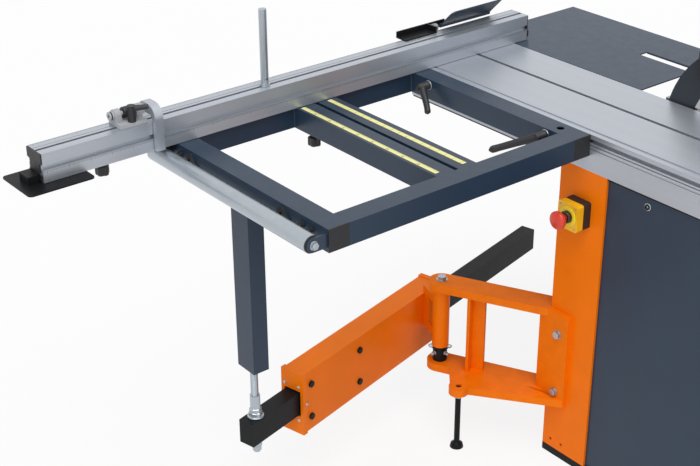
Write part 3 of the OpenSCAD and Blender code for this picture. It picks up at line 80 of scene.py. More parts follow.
# Length of the collar between the yellow cover and the mushroom button
BUTTON_COLLAR = 0.010
# Distance of the cover's screws from its edges
COVER_SCREW_IN = 0.008
# Screw in the cabinet's left side: place along y and height
CABINET_SCREW = (0.112, 0.757)
# Support arm: hinge axis, direction, reach of its end plate and distance of its near side
HINGE = np.array([-0.432, 0.621, 0.0])
ARM_TURN = math.radians(193.7)
ARM_OUT = 0.446
ARM_SIDE = 0.078
# Screws in the corners of the arm's window: distances aside and heights
WINDOW_SIDES = (0.0892, 0.1296)
WINDOW_SCREW_Z = (0.288, 0.198)
# Screw in the arm's near side: reach and height
SIDE_SCREW = (0.433, 0.242)
# Collar below the hinge: radius, then angle in degrees and height of each set screw
COLLAR_R = 0.0165
COLLAR_BOLTS = ((182, 0.202), (2, 0.202), (272, 0.202), (92, 0.202), (137, 0.2145), (317, 0.2145))
# Clamp levers: node, body, place along the tube, turn and lean in degrees, length of the handle
LEVERS = (("clamp_lever_front", "front_lever", 0.368, -27, 30, 0.112),
          ("clamp_lever_rear", "rear_lever", 0.754, 230, 8, 0.0672))
# Depth of the levers' studs below the table's top
LEVER_DROP = 0.015
# Flip stop's bolt: distance behind the fence's front, height above its top
STOP_BOLT = (0.036, 0.024)
# Figures on the tape: the first one, the step and the step's length on the tape
FIRST_FIGURE = 300
FIGURE_STEP = 50
FIGURE_PITCH = 0.05
# Camera fitted to the photograph's straight edges: place and unit vectors
CAMERA_AT = (-2.4949, -1.6141, 2.0862)
CAMERA_RIGHT = (0.78104135, -0.62445707, -0.0052703)
CAMERA_UP = (0.28830452, 0.35308569, 0.89006236)
CAMERA_BACK = (-0.55394487, -0.69669495, 0.45580832)


def colour_prop(name, value, text):
    """A colour that the panel shows, in linear values."""
    return FloatVectorProperty(name=name, default=value, description=text, subtype="COLOR",
                               size=3, min=0.0, max=1.0)


def length_prop(name, value, text, low=0.0, high=1.0):
    """A length in metres that the panel shows."""
    return FloatProperty(name=name, default=value, description=text, unit="LENGTH",
                         min=low, max=high, precision=4)


class SawFinishes(bpy.types.PropertyGroup):
    """Colours and grain sizes of the saw's finishes."""
    anthracite: colour_prop("Anthracite coat", (0.018, 0.036, 0.066), "Powder coat of frame and cabinet")
    orange: colour_prop("Orange coat", (0.90, 0.185, 0.0), "Paint of the column and the arm")
    aluminium: colour_prop("Aluminium", (0.47, 0.50, 0.55), "Anodised profiles")
    zinc: colour_prop("Zinc", (0.44, 0.49, 0.55), "Zinc plated steel")
    black: colour_prop("Black plastic", (0.014, 0.014, 0.016), "Moulded caps, knobs and levers")
    tape: colour_prop("Scale tape", (0.84, 0.79, 0.30), "Ground of the scale tapes")
    warning_yellow: colour_prop("Yellow cover", (0.92, 0.46, 0.008), "Cover of the stop button's box")
    stop_red: colour_prop("Red button", (0.66, 0.045, 0.022), "Mushroom button")
    coat_grain: length_prop("Coat grain", 0.0016, "Size of the powder coat's orange peel")
    brush_pitch: length_prop("Brush line", 0.0007, "Width of the lines in drawn aluminium")


class SawDetails(bpy.types.PropertyGroup):
    """Sizes of the fine pieces."""
    thread_pitch: length_prop("Thread pitch", 0.002, "Pitch of the threads that show")
    weld_radius: length_prop("Weld bead", 0.0028, "Radius of the weld beads on the frame")
    figure_size: length_prop("Figures", 0.0062, "Height of the figures on the tapes")
    knob_lobes: IntProperty(name="Knob lobes", default=5, min=3, max=8,
                            description="Lobes of the clamping knobs")


class SawStudio(bpy.types.PropertyGroup):
    """Light and camera."""
    sky: FloatProperty(name="Sky", default=0.55, min=0.0, max=3.0,
                       description="Strength of the light from all round")
    key: FloatProperty(name="Key light", default=1.7, min=0.0, max=10.0,
                       description="Strength of the soft light from above")
    side: FloatProperty(name="Side light", default=0.5, min=0.0, max=10.0,
                        description="Strength of the soft light from the left")
    lens: FloatProperty(name="Lens", default=73.07, min=10.0, max=300.0,
                        description="Focal length in millimetres")


# Shader maths

class Value:
    """A socket of the node tree; arithmetic on it adds Math nodes."""

    def __init__(self, tree, socket):
        self.tree = tree
        self.socket = socket

    def math(self, operation, *others, clamp=False):
        """Adds one Math node of the given operation on this value and the others."""
        values = {"Value" if i == 0 else f"Value_00{i}": v for i, v in enumerate((self, *others))}
        return self.tree.node("ShaderNodeMath", {"operation": operation, "use_clamp": clamp}, values)

    def __add__(self, other):
        return self.math("ADD", other)

    __radd__ = __add__

    def __sub__(self, other):
        return self.math("SUBTRACT", other)

    def __rsub__(self, other):
        return self.tree.node("ShaderNodeMath", {"operation": "SUBTRACT"},
                              {"Value": other, "Value_001": self})

    def __mul__(self, other):
        return self.math("MULTIPLY", other)

    def __truediv__(self, other):
        return self.math("DIVIDE", other)

    def __gt__(self, other):
        return self.math("GREATER_THAN", other)

    def __lt__(self, other):
        return self.math("LESS_THAN", other)

    def fract(self):
        """What is left of the value after its whole part."""
        return self.math("FRACT")

    def size(self):
        """The value without its sign."""
        return self.math("ABSOLUTE")

    def clamped(self):
        """The value held between 0 and 1."""
        return self.math("ADD", 0.0, clamp=True)


class Finish:
    """One material's node tree, with the coordinates of its own piece."""

    def __init__(self, name):
        self.material = bpy.data.materials.new(name)
        self.material.use_nodes = True
        self.nodes = self.material.node_tree.nodes
        self.links = self.material.node_tree.links
        self.nodes.clear()
        self.place = self.node("ShaderNodeTexCoord", output="Object")
        self.axes = None

    def node(self, kind, settings=None, sockets=None, output=0):
        """Adds a node, sets its settings, then its sockets to numbers or links; gives one output."""
        node = self.nodes.new(kind)
        for key, value in (settings or {}).items():
            setattr(node, key, value)
        for key, value in (sockets or {}).items():
            target = next(s for s in node.inputs if key in (s.identifier, s.name))
            if isinstance(value, Value):
                self.links.new(value.socket, target)
            else:
                target.default_value = value
        if isinstance(output, str):
            found = next(s for s in node.outputs if output in (s.identifier, s.name))
        else:
            found = node.outputs[output] if node.outputs else None
        return Value(self, found)

    def xyz(self):
        """The three Object coordinates as values, in metres."""
        if self.axes is None:
            node = self.node("ShaderNodeSeparateXYZ", sockets={"Vector": self.place}).socket.node
            self.axes = [Value(self, out) for out in node.outputs]
        return self.axes

    def noise(self, size, detail=2.0, stretch=(1.0, 1.0, 1.0)):
        """Soft noise with lumps of the given size in metres, drawn out along an axis by stretch."""
        place = self.place
        if stretch != (1.0, 1.0, 1.0):
            place = self.node("ShaderNodeMapping", sockets={"Vector": place, "Scale": stretch})
        return self.node("ShaderNodeTexNoise", sockets={"Vector": place, "Scale": 1.0 / size,
                                                        "Detail": detail, "Roughness": 0.55})

    def mix(self, factor, first, second):
        """A colour between two colours, by a value from 0 to 1."""
        def four(c):
            return c if isinstance(c, Value) else (*c, 1.0)
        return self.node("ShaderNodeMix", {"data_type": "RGBA"},
                         {"Factor_Float": factor, "A_Color": four(first), "B_Color": four(second)},
                         output="Result_Color")

    def close(self, colour, roughness, metallic=0.0, height=None, depth=0.0001, **fixed):
        """Joins colour, roughness, metal share and surface height in one Principled surface."""
        sockets = {"Base Color": colour if isinstance(colour, Value) else (*colour, 1.0),
                   "Roughness": roughness, "Metallic": metallic}
        if height is not None:
            sockets["Normal"] = self.node("ShaderNodeBump", sockets={"Height": height, "Strength": 1.0,
                                                                     "Distance": depth})
        sockets.update({key.replace("_", " "): value for key, value in fixed.items()})
        surface = self.node("ShaderNodeBsdfPrincipled", sockets=sockets)
        self.node("ShaderNodeOutputMaterial", sockets={"Surface": surface})
        return self.material


def shade(colour, factor):
    """A colour made lighter or darker."""
    return tuple(min(1.0, c * factor) for c in colour)


def powder_coat(name, colour, grain, depth=0.00007, rough=0.34, gloss=0.36):
    """Baked powder coat: even colour, slight clouding, fine orange peel."""
    f = Finish(name)
    cloud = f.noise(0.11, 3.0)
    peel = f.noise(grain, 2.0)
    paint = f.mix(cloud, shade(colour, 0.88), shade(colour, 1.10))
    dust = f.noise(0.02, 4.0)
    return f.close(paint, rough - 0.06 + dust * 0.16, height=peel, depth=depth,
                   Specular_IOR_Level=gloss)


def ear_coat_and_lug_shade(name, colour, grain):
    """Powder coat of the roller's plates; the triangular plates on the tube are painted near black, partly
    their own dark colour and partly painted shade on their face.
    """
    f = Finish(name)
    x, y = f.xyz()[:2]
    peel = f.noise(grain, 2.0)
    dust = f.noise(0.02, 4.0)
    face = FRAME_LOW[0]
    # Mask of the lugs, painted near black: their own dark colour and painted shade on their face
    lug_dark_and_shade = between(x, face - LUG_T, face + 0.001) * between(y, *LUG_SPAN)
    coat = f.mix(f.noise(0.11, 3.0), shade(colour, 0.88), shade(colour, 1.10))
    paint = f.mix(lug_dark_and_shade, coat, (0.016, 0.017, 0.020))
    return f.close(paint, 0.34 + dust * 0.16, height=peel, depth=0.00007)


def cast_paint(name, colour, depth=0.0005, gloss=0.25):
    """Thick paint on a rough casting: pitted skin with coarser waves below."""
    f = Finish(name)
    pits = f.noise(0.0045, 5.0)
    waves = f.noise(0.03, 2.0)
    paint = f.mix(waves, shade(colour, 0.86), shade(colour, 1.08))
    return f.close(paint, 0.40 + pits * 0.18, height=pits * 0.6 + waves * 0.9, depth=depth,
                   Specular_IOR_Level=gloss)


def drawn_aluminium(name, colour, pitch, along, scale_marks=None):
    """Anodised profile: fine draw lines along one axis, and printed marks if asked for."""
    f = Finish(name)
    stretch = tuple(0.004 if i == along else 1.0 for i in range(3))
    lines = f.noise(pitch, 3.0, stretch)
    bands = f.noise(0.012, 2.0, stretch)
    smudge = f.noise(0.16, 3.0)
    base = f.mix(bands * 0.6 + lines * 0.4, shade(colour, 0.90), shade(colour, 1.10))
    rough = 0.30 + lines * 0.10 + smudge * 0.08
    metal = share = 0.72
    if scale_marks:
        mark = scale_marks(f)
        base = f.mix(mark, base, (0.03, 0.03, 0.035))
        share = metal - mark * metal
    return f.close(base, rough, share, height=lines, depth=0.00004)


def tick(value, pitch, width):
    """1 on thin lines that repeat at a pitch along a value in metres."""
    return ((value / pitch + 0.5).fract() - 0.5).size() < width / pitch / 2


def between(value, low, high):
    """1 where a value lies between two numbers."""
    return (value > low) * (value < high)


def ruler(along, across, edge, sign, lengths):
    """Marks every 2 mm, longer ones every 10 and 50 mm, that start at an edge and grow inwards."""
    depth = (across - edge) * sign
    fine = tick(along, 0.002, 0.00045) * between(depth, 0.0, lengths[0])
    five = tick(along, 0.010, 0.00050) * between(depth, 0.0, lengths[1])
    ten = tick(along, 0.050, 0.00070) * between(depth, 0.0, lengths[2])
    return (fine + five + ten).clamped()


def fence_marks(f):
    """Scales of the fence: one at the top's back edge, one along the front face below its groove."""
    x, y, z = f.xyz()
    top = (z > FENCE_HIGH[2] - 0.0006)
    back = ruler(x, y, FENCE_HIGH[1] - 0.001, -1.0, (0.0045, 0.0065, 0.0095)) * top
    front_face = (y < FENCE_LOW[1] + 0.0006)
    low = ruler(x, z, FENCE_LOW[2] + 0.0262, -1.0, (0.0035, 0.005, 0.007)) * front_face
    return (back + low).clamped()


def zinc_plate(name, colour, stretch=(1.0, 1.0, 0.03)):
    """Bright zinc on turned steel: faint cloudy blue and yellow, fine turning lines."""
    f = Finish(name)
    cloud = f.noise(0.035, 3.0)
    lines = f.noise(0.0012, 2.0, stretch)
    base = f.mix(cloud, shade(colour, 0.88), (colour[0] * 1.10, colour[1] * 1.07, colour[2]))
    return f.close(base, 0.22 + cloud * 0.14 + lines * 0.06, 0.9, height=lines, depth=0.00003)


def moulded(name, colour, rough=0.5, depth=0.00008):
    """Moulded plastic: spark-eroded texture and a slight sheen where hands rub it."""
    f = Finish(name)
    fine = f.noise(0.0011, 3.0)
    rub = f.noise(0.03, 2.0)
    return f.close(f.mix(rub, shade(colour, 0.85), shade(colour, 1.25)), rough - 0.08 + rub * 0.16,
                   height=fine, depth=depth)


def ground_iron(name, colour, paint):
    """Cast table: fine grinding lines on the top, grey paint on ribs and edges."""
    f = Finish(name)
    z = f.xyz()[2]
    top = z > TABLE_TOP - 0.0012
    lines = f.noise(0.0006, 3.0, (1.0, 0.006, 1.0))
    stain = f.noise(0.09, 4.0)
    skin = f.noise(0.004, 4.0)
    iron = f.mix(lines * 0.5 + stain * 0.5, shade(colour, 0.85), shade(colour, 1.12))
    base = f.mix(top, paint, iron)
    return f.close(base, 0.5 - top * 0.16 + stain * 0.08, top * 0.75,
                   height=lines * top * 0.25 + skin * (1 - top), depth=0.0002)


def tape_print(name, colour):
    """Scale tape: pale yellow film; ticks on the left tape's right edge, sparse ones on the other."""
    f = Finish(name)
    x, y = f.xyz()[:2]
    left = x < (TAPE_LOW[0] + TAPE_HIGH[0]) / 2
    inner = ruler(y, x, TAPE_LOW[0] + TAPE_W - 0.0006, -1.0, (0.0026, 0.0036, 0.0050)) * left
    sparse = tick(y, 0.025, 0.0007) * (1 - left)
    wear = f.noise(0.04, 4.0)
    film = f.mix(wear, shade(colour, 0.94), shade(colour, 1.04))
    base = f.mix((inner + sparse).clamped(), film, (0.02, 0.02, 0.02))
    return f.close(base, 0.34 + wear * 0.1, Coat_Weight=0.4, Coat_Roughness=0.15)


def blade_steel(name):
    """Ground saw blade: rings of fine grinding lines about the bore."""
    f = Finish(name)
    lo, hi = corners("saw_blade")
    mid = (lo + hi) / 2
    y, z = f.xyz()[1:]
    out_y, out_z = y - mid[1], z - mid[2]
    radius = (out_y * out_y + out_z * out_z).math("SQRT")
    rings = (radius * 900.0).fract()
    wash = f.noise(0.02, 3.0)
    base = f.mix(rings * 0.4 + wash * 0.6, (0.42, 0.43, 0.45), (0.60, 0.61, 0.63))
    return f.close(base, 0.26 + rings * 0.1, 0.92, height=rings, depth=0.00002)


def knurl(name, colour):
    """Diamond knurling: two sets of slanting ridges crossing on the knob's rim, with painted shade in the
    grooves and a painted highlight on the crests.
    """
    f = Finish(name)
    lo, hi = corners("knurled_knob")
    x, y, z = f.xyz()
    radius = (hi[2] - lo[2]) / 2
    turn = (y - (lo[1] + hi[1]) / 2).math("ARCTAN2", z - (lo[2] + hi[2]) / 2) * radius
    one = ((turn + x) * 700.0).fract() - 0.5
    two = ((turn - x) * 700.0).fract() - 0.5
    ridge = one.size() + two.size()
    wear = f.noise(0.006, 2.0)
    # Painted shade and highlight: the colour darkens in the grooves and lightens on the ridges
    return f.close(f.mix(ridge * 0.7 + wear * 0.3, shade(colour, 0.6), shade(colour, 1.2)), 0.36, 0.8,
                   height=ridge, depth=0.0004)


def rubber(name):
    """Ribbed drive belt: matt rubber with faint cloth lines."""
    f = Finish(name)
    weave = f.noise(0.0008, 2.0)
    dust = f.noise(0.02, 4.0)
    return f.close(f.mix(dust, (0.012, 0.012, 0.013), (0.035, 0.034, 0.033)), 0.72 + weave * 0.1,
                   height=weave, depth=0.00008)


def motor_skin(name, colour):
    """Motor housing: cooling fins round its axis and grey paint, with painted shade between the fins."""
    f = Finish(name)
    lo, hi = corners("motor")
    y, z = f.xyz()[1:]
    mid = (lo + hi) / 2
    turn = (y - mid[1]).math("ARCTAN2", z - mid[2])
    fins = (turn * (36 / (2 * math.pi))).fract().math("PINGPONG", 0.5)
    skin = f.noise(0.003, 3.0)
    # Painted shade: the paint darkens to half its colour between the fins
    return f.close(f.mix(fins * 1.6, shade(colour, 0.5), colour), 0.5 + skin * 0.1,
                   height=fins * 2.0 + skin * 0.1, depth=0.002)


# Meshes from grids of points

def grid_mesh(name, points, smooth=True):
    """Makes a closed mesh of a grid of points: each row is a ring, and the end rows are capped."""
    points = np.asarray(points, float)
    rows, cols = points.shape[:2]
    index = np.arange(rows * cols).reshape(rows, cols)
    onward = np.roll(index, -1, 1)
    faces = np.stack([index[:-1], onward[:-1], onward[1:], index[1:]], -1).reshape(-1, 4).tolist()
    faces.append(index[0, ::-1].tolist())
    faces.append(index[-1].tolist())
    mesh = bpy.data.meshes.new(name)
    mesh.from_pydata(points.reshape(-1, 3).tolist(), [], faces)
    mesh.update()
    turned_out(mesh)
    if smooth:
        mesh.polygons.foreach_set("use_smooth", np.ones(len(mesh.polygons), bool))
    return mesh


def turned_out(mesh):
    """Turns a closed mesh's faces outwards: its signed volume must be above zero."""
    mesh.calc_loop_triangles()
    tri = np.zeros(len(mesh.loop_triangles) * 3, np.int32)
    mesh.loop_triangles.foreach_get("vertices", tri)
    co = np.zeros(len(mesh.vertices) * 3)
    mesh.vertices.foreach_get("co", co)
    co = co.reshape(-1, 3)
    a, b, c = (co[tri.reshape(-1, 3)[:, i]] for i in range(3))
    if np.einsum("ij,ij->i", a, np.cross(b, c)).sum() < 0:
        mesh.flip_normals()


def joined(name, meshes):
    """One mesh from several, with each face as smooth or flat as it was."""
    points, faces, smooth, shift = [], [], [], 0
    for mesh in meshes:
        co = np.zeros(len(mesh.vertices) * 3)
        mesh.vertices.foreach_get("co", co)
        points.append(co.reshape(-1, 3))
        faces += [[v + shift for v in p.vertices] for p in mesh.polygons]
        smooth += [p.use_smooth for p in mesh.polygons]
        shift += len(mesh.vertices)
    mesh = bpy.data.meshes.new(name)
    mesh.from_pydata(np.vstack(points).tolist(), [], faces)
    mesh.polygons.foreach_set("use_smooth", np.array(smooth, bool))
    mesh.update()
    return mesh


def piece(name, meshes, finish, body, replaces=()):
    """One object from meshes, at the origin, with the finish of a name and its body."""
    mesh = joined(name, meshes) if len(meshes) > 1 else meshes[0]
    mesh.name = name
    mesh.materials.append(bpy.data.materials[finish])
    obj = bpy.data.objects.new(name, mesh)
    bpy.context.scene.collection.objects.link(obj)
    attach(obj, body)
    if replaces:
        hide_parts(*replaces)
    return obj


def frame_axes(axis):
    """Two unit vectors square to an axis and to each other, and the axis itself."""
    w = np.asarray(axis, float) / np.linalg.norm(axis)
    u = np.cross(w, (0.0, 0.0, 1.0) if abs(w[2]) < 0.9 else (1.0, 0.0, 0.0))
    u /= np.linalg.norm(u)
    return u, np.cross(w, u), w


def turned(name, profile, at, axis, steps=48, smooth=True):
    """A turned piece: each (radius, height) of the profile swept about an axis through a point."""
    u, v, w = frame_axes(axis)
    r, h = np.array(profile, float).T
    t = np.linspace(0, 2 * np.pi, steps, endpoint=False)
    ring = np.cos(t)[:, None] * u + np.sin(t)[:, None] * v
    points = np.asarray(at) + r[:, None, None] * ring[None] + h[:, None, None] * w
    return grid_mesh(name, points, smooth)


def dome_profile(radius, low, high, edge, steps=6):
    """Profile of a button: straight side, rounded edge, then a slight crown to the middle."""
    a = np.linspace(0, np.pi / 2, steps)
    side = [(radius, low)]
    rim = [(radius - edge + edge * math.cos(t), high - 2 * edge + edge * math.sin(t)) for t in a]
    crown = [((radius - edge) * k, high - edge + edge * (1 - k * k)) for k in (0.8, 0.55, 0.3, 0.02)]
    return side + rim + crown


def lobed(name, at, lobes, radius, height, depth=0.16, steps=120):
    """A clamping knob: the radius waves lobes times round, and the rims are rounded off."""
    t = np.linspace(0, 2 * np.pi, steps, endpoint=False)
    wave = radius * (1 - depth * (0.5 - 0.5 * np.cos(lobes * t)) ** 1.4)
    k = np.array([0.02, 0.55, 0.84, 0.95, 1.0, 1.0, 0.97, 0.88, 0.66, 0.3, 0.02])
    z = np.array([0.0, 0.0, 0.0, 0.04, 0.13, 0.80, 0.90, 0.965, 1.0, 1.01, 1.01]) * height
    x = at[0] + k[:, None] * wave * np.cos(t)
    y = at[1] + k[:, None] * wave * np.sin(t)
    return grid_mesh(name, np.stack([x, y, at[2] + np.repeat(z[:, None], steps, 1)], -1))


def thread(name, at, low, high, root, crest, pitch, steps=32):
    """A screw thread: the radius follows a triangle wave of height over pitch less angle over a turn."""
    t = np.linspace(0, 2 * np.pi, steps, endpoint=False)
    z = np.linspace(low, high, max(4, int((high - low) / pitch * 6)))
    phase = (z[:, None] / pitch - t[None] / (2 * np.pi)) % 1.0
    r = root + (crest - root) * (1 - np.abs(2 * phase - 1))
    points = np.stack([at[0] + r * np.cos(t), at[1] + r * np.sin(t), np.repeat(z[:, None], steps, 1)], -1)
    return grid_mesh(name, points)


def swept(name, path, radii, steps=20, flat=1.0, up=(0.0, 0.0, 1.0)):
    """A round bar along a path: circles square to the path, whose radius changes on the way."""
    path = np.asarray(path, float)
    radii = np.broadcast_to(np.asarray(radii, float), (len(path),))
    along = np.gradient(path, axis=0)
    along /= np.linalg.norm(along, axis=1, keepdims=True)
    side = np.cross(along, up)
    side /= np.linalg.norm(side, axis=1, keepdims=True)
    over = np.cross(side, along)
    t = np.linspace(0, 2 * np.pi, steps, endpoint=False)
    points = path[:, None] + radii[:, None, None] * (
        np.cos(t)[None, :, None] * side[:, None] + flat * np.sin(t)[None, :, None] * over[:, None])
    return grid_mesh(name, points)


def weld_bead(name, start, end, radius, lean):
    """A weld bead: a bar between two points whose radius ripples every two millimetres."""
    start, end = np.asarray(start, float), np.asarray(end, float)
    length = np.linalg.norm(end - start)
    k = np.linspace(0, 1, max(6, int(length / 0.0008)))
    ripple = radius * (0.9 + 0.14 * np.abs(np.sin(k * length / 0.0022 * np.pi)))
    ends = np.clip(np.minimum(k, 1 - k) * length / radius, 0.25, 1.0) ** 0.5
    return swept(name, start + (end - start) * k[:, None], ripple * ends, 8, up=lean)


def hex_bolt(at, axis, washer, radius, washer_t, head_t, stud=0.0):
    """Meshes of a washer and a chamfered hexagon head, with a stud beyond it if asked for."""
    at = np.asarray(at, float)
    meshes = [turned("washer", [(washer, 0.0), (washer, washer_t * 0.8), (washer * 0.96, washer_t),
                                (0.0005, washer_t)], at, axis, 32),
              turned("head", [(radius, washer_t * 0.9), (radius, washer_t + head_t * 0.85),
                              (radius * 0.88, washer_t + head_t), (0.0005, washer_t + head_t)],
                     at, axis, 6, smooth=False)]
    if stud:
        meshes.append(turned("stud", [(radius * 0.58, washer_t), (radius * 0.58, stud - 0.0006),
                                      (radius * 0.48, stud), (0.0005, stud)], at, axis, 20))
    return meshes


# Operators

class SAW_OT_paint_nodes(bpy.types.Operator):
    """Give every CAD piece its finish."""
    bl_idname = "saw.paint_nodes"
    bl_label = "Finish the main pieces"

    def execute(self, context):
        p = context.scene.saw_finishes
        grain, pitch = p.coat_grain, p.brush_pitch
        steel_black = (0.0085, 0.009, 0.010)
        anthracite, orange = tuple(p.anthracite), tuple(p.orange)
        aluminium, zinc = tuple(p.aluminium), tuple(p.zinc)
        looks = (
            (powder_coat("anthracite coat", anthracite, grain), (
                "cabinet", "side_door", "outrigger_frame", "post", "outfeed_plate",
                "right_table", "flap")),
            (powder_coat("black steel", steel_black, grain, rough=0.38, gloss=0.12), (
                "plinth", "telescope_tube", "extension_bar", "levelling_foot", "back_bracket",
                "arm_fittings")),
            (powder_coat("orange coat", orange, grain, rough=0.38, gloss=0.14), ("column", "swing_arm")),
            (cast_paint("orange casting", orange, 0.00018, 0.14), ("arm_bracket",)),
            (drawn_aluminium("aluminium along y", aluminium, pitch, 1), (
                "slide_rail", "carriage", "rip_profile")),
            (drawn_aluminium("fence aluminium", aluminium, pitch, 0, fence_marks), ("fence_profile",)),
            (zinc_plate("zinc", zinc), (
                "clamp_rod", "post_screw", "bracket_bolts", "fence_pin", "saw_arbor", "ball_cage")),
            (zinc_plate("zinc roller", zinc, (0.3, 1.0, 0.3)), ("roller",)),
            (zinc_plate("chrome bar", (0.62, 0.63, 0.65), (0.03, 1.0, 1.0)), ("rip_rail",)),
            (cast_paint("cast aluminium", (0.42, 0.43, 0.45), 0.00025), ("stop_block", "motor_pulley")),
            (drawn_aluminium("flat aluminium", aluminium, pitch, 2), ("stop_arm",)),
            (moulded("black plastic", tuple(p.black)), (
                "carriage_caps", "tube_caps", "fence_caps", "beam_knob", "extension_knob",
                "stop_lever", "clamp_lever_front", "clamp_lever_rear", "tilt_wheel", "height_wheel",
                "rip_lever", "estop_base", "blade_guard")),
            (moulded("grey plastic", (0.05, 0.052, 0.058), 0.45), ("switch_box", "rip_slide")),
            (moulded("green plastic", (0.01, 0.20, 0.035), 0.3), ("switch_rocker",)),
            (moulded("yellow plastic", tuple(p.warning_yellow), 0.4), ("estop_cover",)),
            (moulded("red plastic", tuple(p.stop_red), 0.3, 0.00003), ("estop_button",)),
            (ground_iron("ground iron", (0.40, 0.41, 0.43), (0.10, 0.105, 0.115)), ("main_table",)),
            (cast_paint("painted casting", (0.17, 0.18, 0.195)), (
                "trunnions", "tilt_frame", "lift_carrier")),
            (motor_skin("motor paint", (0.06, 0.07, 0.085)), ("motor",)),
            (powder_coat("knife steel", (0.030, 0.036, 0.046), grain), ("riving_knife",)),
            (ear_coat_and_lug_shade("ear coat and lug shade", anthracite, grain), ("roller_ears",)),
            (blade_steel("blade steel"), ("saw_blade",)),
            (rubber("belt rubber"), ("drive_belt",)),
            (tape_print("tape film", tuple(p.tape)), ("scale_tapes",)),
            (knurl("knurled steel", (0.30, 0.31, 0.32)), ("knurled_knob",)),
        )
        done = set()
        for material, names in looks:
            for name in names:
                obj = NODES[name]
                if obj.material_slots:
                    for slot in obj.material_slots:
                        slot.material = material
                else:
                    obj.data.materials.append(material)
                done.add(name)
        left = set(NODES) - done
        if left:
            raise RuntimeError(f"no finish for {sorted(left)}")
        return {"FINISHED"}


class SAW_OT_stop_button(bpy.types.Operator):
    """Make the emergency stop's domed button, ring, collar and screws."""
    bl_idname = "saw.stop_button"
    bl_label = "Emergency stop"

    def execute(self, context):
        y, z = (BUTTON_LOW + BUTTON_HIGH)[1:] / 2
        face = COVER_LOW[0] + BUTTON_COLLAR
        out = (-1.0, 0.0, 0.0)
        stem = (BUTTON_HIGH[0], y, z)
        head = turned("mushroom", self.mushroom(), stem, out, 64)
        piece("stop_button_head", [head], "red plastic", "estop", ["estop_button"])
        top = BUTTON_COLLAR + 0.0003
        collar = turned("collar", [(0.0144, 0.0), (0.0144, top - 0.0009), (0.0136, top), (0.0098, top)],
                        (face, y, z), out)
        piece("stop_button_collar", [collar], "black plastic", "base")
        ring = turned("ring", [(0.0145, 0.0), (0.0235, 0.0), (0.0238, 0.0004), (0.0235, 0.0008),
                               (0.0145, 0.0008)], (face + 0.0001, y, z), out, 64)
        moulded("yellow disc", (0.80, 0.62, 0.02), 0.4)
        piece("stop_button_disc", [ring], "yellow disc", "base")
        half_y, half_z = ((COVER_HIGH - COVER_LOW) / 2 - COVER_SCREW_IN)[1:]
        profile = [(0.0027, -0.0034), (0.0027, -0.0012), (0.0024, -0.0008),
                   (0.0012, -0.0008), (0.0010, -0.0018), (0.0001, -0.0018)]
        screws = [turned("screw", profile, (face, y + side * half_y, z + rise * half_z), out, 20)
                  for side in (-1, 1) for rise in (-1, 1)]
        piece("stop_cover_screws", screws, "zinc", "base")
        return {"FINISHED"}

    @staticmethod
    def mushroom():
        """Profile of the button: a stem, a flared head and a quarter ellipse to its middle."""
        stem, dome = 0.009, 0.0075
        long, wide = (BUTTON_HIGH - BUTTON_LOW)[:2]
        r = wide / 2
        side = [(stem, 0.0), (stem, long - 0.0205), (0.011, long - 0.0200), (r - 0.0030, long - 0.0155),
                (r - 0.0008, long - 0.0140), (r, long - 0.0115), (r, long - dome)]
        turns = np.linspace(0, np.pi / 2, 9)[1:]
        return side + [(max(r * math.cos(t), 0.0002), long - dome + dome * math.sin(t)) for t in turns]


class SAW_OT_threads(bpy.types.Operator):
    """Cut threads on the post's rod and on the levelling foot."""
    bl_idname = "saw.threads"
    bl_label = "Threads"

    def execute(self, context):
        d = context.scene.saw_details
        lo, hi = corners("post_screw")
        tube_top, post_end = corners("telescope_tube")[1][2], corners("post")[0][2]
        rod = thread("rod thread", (lo + hi) / 2, tube_top + 0.001, post_end, 0.00805, 0.0088,
                     d.thread_pitch)
        piece("post_rod_thread", [rod], "zinc", "support_post")
        lo, hi = corners("levelling_foot")
        foot = thread("foot thread", (lo + hi) / 2, lo[2] + 0.017, hi[2] - 0.0005,
                      0.00665, 0.00725, d.thread_pitch)
        piece("foot_rod_thread", [foot], "black steel", "foot")
        return {"FINISHED"}


class SAW_OT_welds(bpy.types.Operator):
    """Run weld beads round the joints of the outrigger's tubes."""
    bl_idname = "saw.welds"
    bl_label = "Weld beads"

    def execute(self, context):
        r = context.scene.saw_details.weld_radius
        x0, x1 = FRAME_LOW[0], FRAME_HIGH[0]
        y0, y1 = FRAME_LOW[1], FRAME_HIGH[1]
        z0, z1 = FRAME_LOW[2], FRAME_HIGH[2]
        beads = []

        def upright(x, y, radius):
            """Adds the bead that stands at one corner between two tubes."""
            beads.append(weld_bead("bead", (x, y, z0 + 0.002), (x, y, z1 - 0.002), radius, (1, 0, 0)))
        for x, inwards in ((x0 + TUBE, 0.0006), (x1 - TUBE, -0.0006)):
            for y in (y0 + TUBE, y1 - TUBE):
                upright(x + inwards, y, r)
            for y in (y0 + 0.003, y1 - TUBE + 0.002):
                below = z0 - 0.0002
                beads.append(weld_bead("bead", (x, y, below), (x, y + TUBE - 0.005, below), r * 0.7,
                                       (0, 0, 1)))
        for x in self.beam_edges():
            for y in (y0 + TUBE, y1 - TUBE):
                upright(x, y, r * 0.8)
        piece("frame_weld_beads", beads, "anthracite coat", "outrigger")
        return {"FINISHED"}

    @staticmethod
    def beam_edges():
        """The outer edges of the two middle beams, from the tapes that lie on them."""
        left = TAPE_LOW[0] - 0.007
        right = TAPE_HIGH[0] + 0.016
        return left, right


